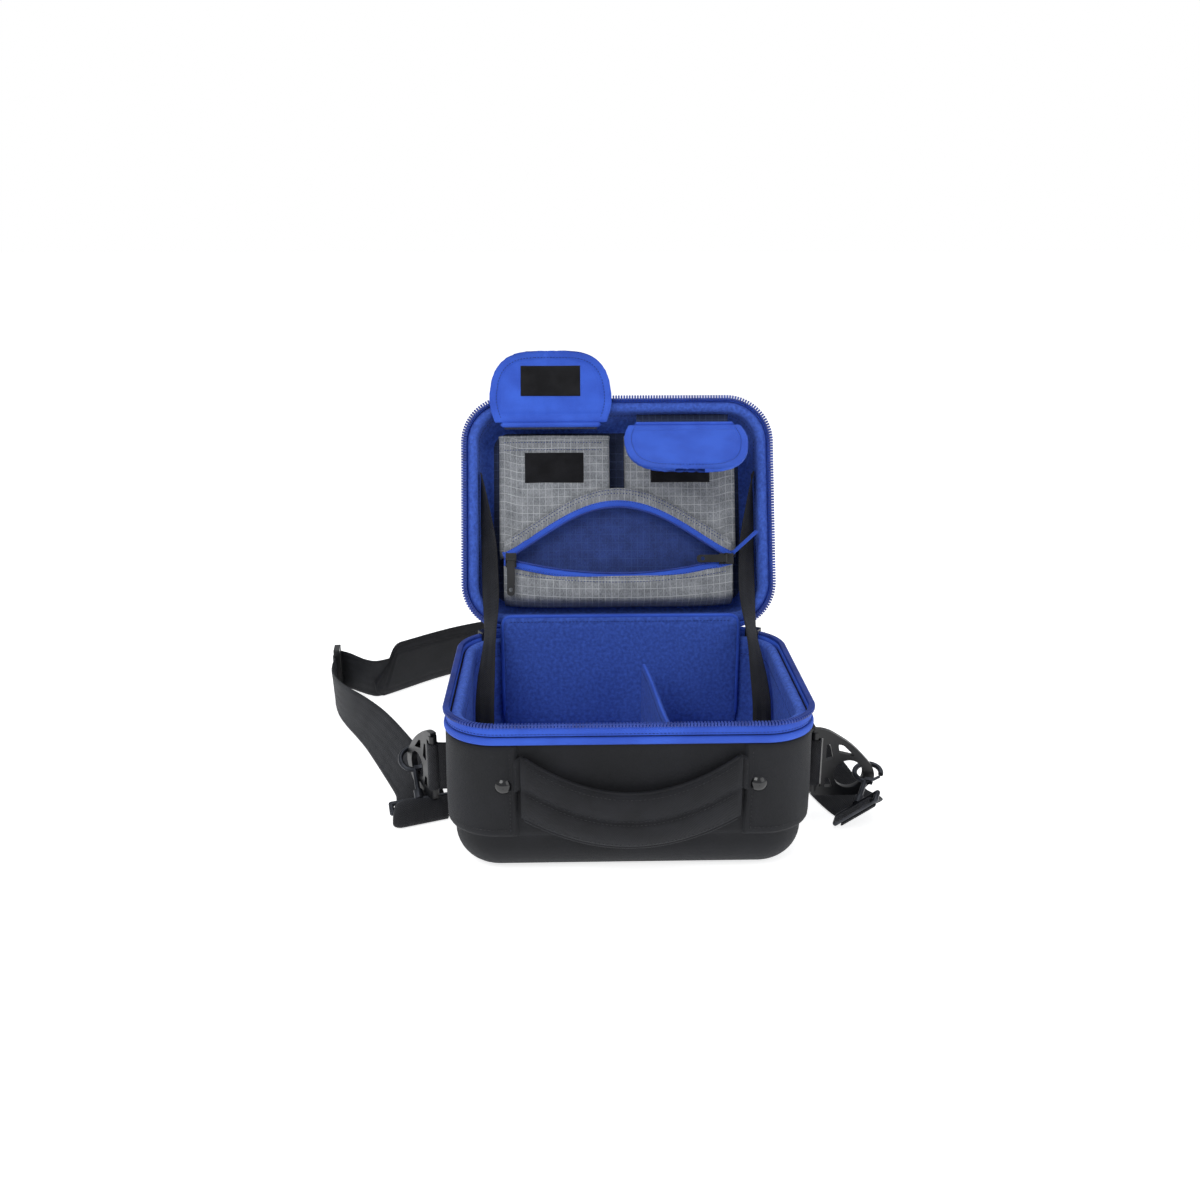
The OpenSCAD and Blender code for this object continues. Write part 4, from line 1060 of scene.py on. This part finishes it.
flap("left_flap", -56, 0, "left_flap_body")
flap("right_flap", 56, 139, "right_flap_body")


# ---------- rear panel and divider ----------
# Upright padded boards covered in the brushed lining, bound along their edges. The rear
# one is sewn in and its top folds over the contents; the divider stands loose.


def board(name, line, z0, z1, t, corner, nodes, waves=0.0):
    """An upright pad along a line on the floor, from z0 to z1 and t thick, with rounded top
    corners, pressed in beside its edge, and its top waving a little."""
    d = heading(line)
    side = np.stack([-d[:, 1], d[:, 0]], -1)
    run = spaced(line)
    z0 = np.broadcast_to(z0, run.shape)
    near = near_end(run)
    top = z1 - corner + corner * rounded(near, corner)
    z = z0[:, None] + (top - z0)[:, None] * eased(40)
    inner = np.minimum(np.minimum(near[:, None], top[:, None] - z), z - z0[:, None])
    h = t / 2 * (0.5 + 0.5 * clamp(inner / 5) ** 0.6) - 0.5 * bell(inner, 5.2, 1.0)

    def bend(run, z):
        return waves * np.sin(run / 23) * clamp((z - 70) / 30)

    off = [k * h + bend(run[:, None], z) for k in (-1, 1)]
    x, y, sx, sy = (q[:, None] for q in (*line.T, *side.T))
    faces = [grid(x + q * sx, y + q * sy, z) for q in off]
    p = np.concatenate([faces[0], faces[1][:, ::-1]], 1)
    pad = surface(name + "_pad", p, lining_cloth, close_v=True)
    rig.replaces(pad, *nodes)
    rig.padded(pad, 0.5)
    edge = np.c_[line + bend(run, top)[:, None] * side, top]
    legs = [np.c_[np.tile(q[:2], (8, 1)), np.linspace(b, q[2], 8)] for q, b in zip(edge[[0, -1]], z0[[0, -1]])]
    cord = np.vstack([legs[0][:-1], edge, legs[1][::-1][1:]])
    bound = tube(name + "_binding", cord, t * 0.36, rim_cloth, up=(*side[0], 0.02))
    rows = []
    for k in (-1, 1):
        n = np.c_[k * side[3:-3], 0 * top[3:-3]]
        q = edge[3:-3] + [0, 0, -4.0] + t / 2 * 0.98 * n
        rows.append(stitches(f"{name}_seam_{k + 1}", q, n, navy_thread, 2.8, 1.8, 0.28))
    return [pad, bound, *rows]


line = np.c_[np.linspace(-96, 96, 100), np.full(100, 81.85)]
for piece in board("rear_panel", line, 42, 136, 5.5, 7, ["rear_panel", "cover_flap"]):
    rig.blend(piece, "case_base", "cover", start=(0, 0.0818, 0.102), end=(0, 0.0818, 0.114))

line = np.c_[np.linspace(29.8, 17.2, 90), np.linspace(-82.5, 56.5, 90)]
under = 11.0 + 16 * (1 - np.sqrt(1 - clamp((-66.5 - line[:, 1]) / 16) ** 2 * 0.98))
ride("divider_body", *board("divider", line, under, 104, 4.5, 6, ["divider"], waves=0.6))


# ---------- handle ----------
# A padded band of two sewn lobes that hangs in front, thicker in the middle. Its ends are
# sewn down under the front edges of the side panels.

pad_cloth = woven(
    "pad_cloth", "padded_fabric", (0.0056, 0.006, 0.0075), (0.0125, 0.013, 0.016),
    0.0013, 0.00016, 0.66, 0.04, COOL,
)
END = 76  # half the handle's length

xs = np.r_[[-END, -75.6, -74.8], np.linspace(-73, 73, 90), [74.8, 75.6, END]]
mid_x = 1 - (xs / END) ** 2
top, width = 96.5 - 28 * mid_x, 46 - 6 * mid_x
s = eased(34)
swell = np.sqrt(np.sin(PI * s).clip(0))
lobes = np.sqrt(clamp(np.abs(np.sin(2 * PI * s)))) * 0.45 + 0.55 * swell
t = (4.3 + 2.3 * mid_x) * (0.45 + 0.55 * clamp((END - np.abs(xs)) / 2.2) ** 0.5)
hy = -100.0 - 2.4 * mid_x
z = top[:, None] - width[:, None] * s
pucker = 1 + 0.05 * np.sin(xs / 2.1)[:, None] * bell(s, 0.5, 0.12)
outer = hy[:, None] - t[:, None] * (lobes * np.where(np.abs(s - 0.5) < 0.03, 0.86, 1.0)) * pucker
inner = hy[:, None] + t[:, None] * swell * 0.9
p = np.concatenate([grid(xs[:, None], outer, z), grid(xs[:, None], inner, z)[:, -2:0:-1]], 1)
grip = surface("handle_pad", p, pad_cloth, close_v=True, flip=True)
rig.replaces(grip, "handle")
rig.padded(grip, 0.8)
ride("handle_body", grip)
for name, f in (("top", 0.0), ("low", 1.0)):
    q = grid(xs, hy, top - width * f)[2:-2]
    ride("handle_body", tube("handle_welt_" + name, q, 1.5, pad_cloth, up=(0, 1, 0.01)))
for i, f in enumerate((0.07, 0.465, 0.535, 0.93)):
    q = grid(xs, hy - t * np.interp(f, s, lobes) - 0.15, top - width * f)[4:-4]
    ride("handle_body", stitches(f"handle_seam_{i}", q, (0, -1, 0), black_thread, 3.0, 2.0, 0.3))


def tuck(side):
    """The handle's end sewn under the panel edge: a low pillow of cloth, thin at its edges."""
    a, b = np.linspace(-1, 1, 18)[:, None], np.linspace(-1, 1, 26)
    rise = np.sqrt(clamp(1 - a**2)) * clamp((1 - np.abs(b)) / 0.2) ** 0.5
    p = grid(side * (77.6 + 3.6 * a), -97.2 - 2.1 * rise, 82 + 12.5 * b - 2.0 * a)
    pillow = surface("handle_tuck_" + SIDE[side], p, pad_cloth, flip=side < 0)
    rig.replaces(pillow, "handle_anchors")
    q = grid(side * 79.3, -99.1, np.linspace(73, 91, 10))
    row = stitches("handle_tuck_seam_" + SIDE[side], q, (0, -1, 0), black_thread, 2.4, 1.8, 0.3)
    ride("case_base", pillow, row)


tuck(-1)
tuck(1)


# ---------- webbing loops and rings at the sides ----------
# A webbing loop sewn in each end of the case holds a moulded ring that swings on it.

# Ribs across the run, bent to a zigzag along it, with fine lengthwise threads
n = Finish("webbing_cloth")
u, v = n.uv()
rib = n.wave(n.mad(n.math("PINGPONG", v, 0.0035), 0.8, u), 0.0016)
h = n.mad(n.wave(v, 0.0011), 0.4, rib)
n.bump(n.mad(n.noise(2500, 2), 0.5, h), 0.00018)
tone = n.ramp(n.mad(h, 0.16, n.noise(60, 4)), 0.25, 0.8)
tone = n.mix(tone, (0.007, 0.0075, 0.009), (0.0185, 0.019, 0.0225))
webbing_cloth = n.done("webbing", tone, 0.6, 0.05, tint=COOL)
moulded = grainy(
    "moulded_plastic", "moulded_plastic", (0.0045, 0.005, 0.006), (0.0095, 0.01, 0.012),
    1500, 0.00005, 0.34, specular=0.42,
)


def ribbon(name, low, up, width, t):
    """Webbing: a flat band from its lower edge along the width direction, thin at both
    edges; each end is closed along its middle line."""
    up = np.broadcast_to(unit(up), low.shape)
    out = unit(np.cross(up, heading(low)))
    edge = np.array([0, 0.3, 1.2, 3.5])
    s = np.r_[edge, np.linspace(6, width - 6, 5), width - edge[::-1]]
    h = t / 2 * np.clip(np.minimum(s, width - s) / 1.2, 0.02, 1) ** 0.45
    s, h = np.r_[s, s[::-1]][:, None], np.r_[h, -h[::-1]][:, None]
    p = low[:, None] + s * up[:, None] + h * out[:, None]
    ends = [p[k].mean(0) + (s - width / 2) * up[k] for k in (0, -1)]
    run = spaced(low)[:, None]
    uv = grid(run[[0, *range(len(run)), -1]], s[:, 0])
    return surface(name, np.r_[ends[:1], p, ends[1:]], webbing_cloth, close_v=True, flip=True, uv=uv)


for side in (-1, 1):
    a = np.radians(np.linspace(158, -158, 26))
    tail = np.array([[130.7, 9], [130.9, 4], [133.5, 1.6], [138, 1.2], [142, 1.5]])
    bow = grid(147.0 + 4.1 * np.cos(a), 4.1 * np.sin(a))
    x, y = np.vstack([tail, bow, tail[::-1] * [1, -1]]).T
    q = grid(side * x, y, 24)
    q = smooth_path(q[::-1] if side > 0 else q, 3)
    web = ribbon("ring_loop_web_" + SIDE[side], q, (0, 0, 1), 38, 1.3)
    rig.replaces(web, "ring_loop_" + SIDE[side])
    ride("case_base", web)
    for k, x in enumerate((135.5, 138.5)):
        q = grid(side * x, -2.4, np.linspace(27, 59, 12))
        name = f"ring_loop_seam_{SIDE[side]}_{k}"
        ride("case_base", stitches(name, q, (0, -1, 0), black_thread, 3.0, 2.0, 0.3))
    harden("ring_" + SIDE[side], moulded, 0.9)


# ---------- hooks ----------
# Cast metal snap hooks with a spring gate; the right one is clipped through its ring.

gunmetal = grainy(
    "gunmetal", "hook_metal", (0.02, 0.0225, 0.028), (0.055, 0.059, 0.07),
    900, 0.00003, 0.34, metallic=0.75,
)
for name in ("hook_left", "hook_right", "gate_left", "gate_right"):
    harden(name, gunmetal)


# ---------- shoulder strap ----------
# Broad webbing lies on the floor from hook to hook, standing on its edge. It turns through
# a slide at the left and runs along a padded shoulder piece behind.

RING_X, RING_Z, REACH, SWING = 147.0, 43.0, 42.65, np.radians(60)  # ring's pivot, length, left turn
HOOK = 45  # from a hook's eye to its bar
W, T = 38.0, 1.6
eye_r = np.array([RING_X + REACH, 0, RING_Z - 10])
reach_l = REACH - 1.5
eye_l = np.array([-RING_X - reach_l * np.cos(SWING), reach_l * np.sin(SWING), RING_Z - 10.4])
up_r, up_l = unit([0.4, 0.866, 0.3]), unit([-9.1, 36.4, 26.6])
hook_r, hook_l = eye_r - HOOK * up_r, eye_l - HOOK * up_l


def bar_frame(bar, hook_up):
    """The hook bar's direction and the direction out of the hook's flat."""
    off = unit(np.cross(hook_up, bar))
    return unit(np.cross(off, hook_up)), off


bar_r, off_r = bar_frame([0.6, -0.1, 0.7], up_r)
bar_l, off_l = bar_frame([0.955, 0.125, 0.035], up_l)


def standing(route, t=T):
    """Lower edge and width direction from places on the floor [x, y, lean]."""
    r = np.asarray(route, float)
    d = heading(r[:, :2])
    a = np.radians(r[:, 2])
    low = grid(r[:, 0], r[:, 1], 0.35 + t / 2 * np.abs(np.sin(a)))
    return low, grid(d[:, 1] * np.sin(a), -d[:, 0] * np.sin(a), np.cos(a))


def strap(name, low, up, nodes):
    """Strap webbing with a row of stitches near both edges, on both faces."""
    low, up = smooth_path(low, 8), unit(smooth_path(up, 8))
    obj = ribbon(name, low, up, W, T)
    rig.replaces(obj, *nodes)
    n = np.cross(up, heading(low))
    pieces = [obj]
    for i, f in enumerate((3, 35)):
        for g in (1, -1):
            q = (low + up * f + n * 0.8 * g)[4:-4]
            row = stitches(f"{name}_seam_{i}_{g + 1}", q, (n * g)[4:-4], black_thread, 3.2, 2.2, 0.3)
            pieces.append(row)
    return pieces


def hook_fold(name, at, bar, off, hook_up):
    """The webbing's end wrapped round the hook's bar: part of a circle, sewn down."""
    a = np.radians(np.linspace(-200, 60, 26))[:, None]
    path = at - W / 2 * bar - np.cos(a) * 3.3 * off - np.sin(a) * 3.1 * hook_up
    return ribbon(name, path, bar, W, T)


def hook_tail(name, at, bar, start=20.2, length=43, t=2.6):
    """The webbing's doubled end over the bar: one bent section carried along the bar, smaller
    and reaching further forward at its free side."""
    bend = smooth_path([
        [9, 3.2], [8, 8.8], [3, 12.6], [-3, 13.0], [-8.5, 10.6], [-12.5, 6.6], [-14.6, 3.2],
        [-13, 1.7], [-8, 1.6],
    ], 6)
    off = heading(bend)[:, ::-1] * [-1, 1]
    loop = np.vstack([bend + t / 2 * off, (bend - t / 2 * off)[::-1]])
    edge = np.vstack([bend, bend[::-1]])
    s = [0, 0.4, 1.2, 2.5, 4.5, 7, 10, 15, 20, 25, 30, 35, length - 0.8, length - 0.2, length]
    s = np.array(s)[:, None, None]
    draw = 0.55 + 0.45 * rounded(s, 9)
    swell = clamp(np.minimum(s, length - s) / 0.8) ** 0.5
    heart = np.array([-1, 5.5])
    y, z = np.split(heart + draw * (edge + swell * (loop - edge) - heart), 2, -1)
    y = y * np.where(y < 0, 1.3 - 0.5 * s / length, 1)
    q = at * [1, 1, 0] + (s - start) * bar + np.concatenate([0 * y, y, z], -1)
    run = spaced(bend)
    uv = grid(np.r_[run, run[::-1]], s[..., 0])
    return surface(name, q, webbing_cloth, close_v=True, uv=uv)


left_low, left_up = standing([
    [-183, 34.3, 52], [-190, 52, 46], [-200, 76, 40], [-211, 102, 34], [-222, 127, 26], [-234, 151, 16],
    [-246, 174, 6], [-256, 196, 0], [-263, 218, -3], [-267, 238, -2], [-268.6, 252, 0],
])
end_low = [hook_l - W / 2 * bar_l - 3.1 * off_l, [-177.4, 6, 2.2], [-179, 15, 0.9], [-181, 25, 0.9]]
end_up = [bar_l, [0.965, 0.2, 0.15], [0.9, 0.24, 0.36], [0.82, 0.27, 0.5]]
low, up = np.vstack([end_low, left_low]), np.vstack([end_up, left_up])
pieces = strap("strap_left_web", low, up, ["strap_left", "strap_end_left"])
pieces.append(hook_tail("strap_left_fold", hook_l, unit([0.972, 0.235, 0.0])))
for piece in pieces:
    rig.blend(piece, "case_base", "ring_left_body", start=(-0.196, 0.066, 0.01), end=(-0.172, 0.006, 0.012))

low, up = standing([
    [-266, 272.5, 0], [-257, 266, 0], [-247, 257.5, 2], [-238, 250.6, 4], [-229, 246.6, 5],
    [-219, 253.4, 6], [-209, 263.4, 6],
])
turn = smooth_path([
    [-268.6, 251, 0.4], [-270.6, 255, 0.6], [-271.6, 260, 0.8], [-270.5, 266, 0.8], [-268, 270.4, 0.6],
    [-265.4, 273, 0.4],
], 6)
ride("case_base", *strap("strap_lead_web", low, up, ["strap_lead"]))
ride("case_base", ribbon("strap_turn_web", turn, (0, 0, 1), W, T))
harden("strap_adjuster", moulded, 1.0)

rear_low, rear_up = standing([
    [-66, 345.5, 6], [-30, 348, 4], [0, 346, 2], [34, 338, 0], [68, 324, 0], [98, 303, -2], [122, 276, -4],
    [139, 245, -6], [149, 210, -8], [153, 175, -10], [153, 140, -14], [151, 105, -20], [149, 75, -28],
    [148, 54, -42], [150.5, 33, -58], [155, 14, -71], [160, -2, -73],
])
end_low = [[165, -14, 0.9], [164.6, -22, 2.4], hook_r - W / 2 * bar_r - 3.1 * off_r]
end_up = [[0.86, -0.12, 0.5], [0.7, -0.3, 0.64], bar_r]
low, up = np.vstack([rear_low, end_low]), np.vstack([rear_up, end_up])
pieces = strap("strap_rear_web", low, up, ["strap_rear", "strap_end_right"])
pieces.append(hook_fold("strap_right_fold", hook_r, bar_r, off_r, up_r))
for piece in pieces:
    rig.blend(piece, "case_base", "ring_right_body", start=(0.151, 0.06, 0.01), end=(0.163, -0.008, 0.012))


# ---------- shoulder pad ----------
# Foam in cloth, crowned, with a slanted front end, a corded edge and two rows of stitching.

low, up = standing([
    [-230, 243, 5], [-218, 254, 6], [-202, 270, 7], [-182, 290, 8], [-160, 308, 8], [-136, 323, 8],
    [-110, 335, 8], [-82, 343, 7], [-62, 346, 6],
], 8)
low, up = smooth_path(low, 12), unit(smooth_path(up, 12))
off = unit(np.cross(up, heading(low)))
run = spaced(low)
near, s = near_end(run), eased(30)
cut = 14 - 14 * rounded(near, 14)[:, None]
span = 50 - 2 * cut
across = cut + span * s
inner = np.minimum(near[:, None], span * np.minimum(s, 1 - s))
crown = 1.0 + 2.9 * clamp(inner / 9) ** 0.55 - 0.6 * bell(inner, 6.4, 1.1)
h = (crown + 0.25 * np.sin(run / 9)[:, None] * np.sin(across / 9))[..., None]
slant = run[:, None] + 18 * s * clamp(1 - run[:, None] / 70)
foot, rise, out = (along(q, run, slant) for q in (low, up, off))
middle = foot + across[..., None] * rise
p = np.concatenate([middle + h * out, (middle - h * out)[:, ::-1]], 1)
pad = surface("shoulder_pad_cloth", p, pad_cloth, close_v=True, flip=True)
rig.replaces(pad, "shoulder_pad")
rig.padded(pad, 0.7)
cord = np.r_[middle[:, 0], middle[::-1, -1]]
cord[:, 2] = np.maximum(cord[:, 2], 1.75)
ride("case_base", pad, tube("shoulder_pad_binding", cord, 1.7, pad_cloth, closed=True, up=(0.3, 0.5, 0.2)))
keep = (near > 8) & (run > 22)
for i, f in enumerate((6.4, 43.6)):
    for g in (1, -1):
        q, n = (low + f * up + g * 3.6 * off)[keep], (g * off)[keep]
        ride("case_base", stitches(f"shoulder_pad_seam_{i}_{g + 1}", q, n, black_thread, 3.0, 2.0, 0.3))


# ---------- lid stays ----------
# A slack webbing strap at each side is sewn in the lid and inside the base, and stops the
# lid from falling back.

# x, y, z and twist of a stay's middle line, from the lid down
q = smooth_path([
    [115.5, 161, 237, 0], [112.5, 150, 212, 30], [109, 136, 180, 62], [107.5, 118, 153, 70],
    [106, 95, 137.5, 58], [105.5, 74, 127, 45], [106.5, 54, 114, 52], [107.5, 36, 99, 70],
    [108, 22, 84, 80], [108, 16, 68, 80],
], 10)
c, twist = q[:, :3], np.radians(q[:, 3])[:, None]
d = heading(c)
flat = unit(np.cross([1.0, 0, 0], d))
way = flat * np.cos(twist) + np.cross(d, flat) * np.sin(twist)
for side in (-1, 1):
    mirror = [side, 1, 1]
    stay = ribbon("stay_web_" + SIDE[side], (c - way * 7.5) * mirror, way * mirror, 15, 1.4)
    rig.replaces(stay, "stay_" + SIDE[side])
    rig.blend(stay, "case_base", "lid", start=(side * 0.106, 0.05, 0.108), end=(side * 0.106, 0.125, 0.165))


# ---------- zip sliders and pulls ----------
# Moulded black sliders stand at the ends of both zips, each with a small hanging pull.

for zipper in ("zip", "pocket"):
    harden(zipper + "_sliders", moulded, 0.5)
    for side in SIDE.values():
        harden(f"{zipper}_pull_{side}", moulded)


# ---------- measured boxes ----------
# The design solids' box and the finished pieces' box, side by side.

with open("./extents.json", "w") as f:
    json.dump({"cad": cad_box, "visual": [list(c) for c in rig.bounds()]}, f)
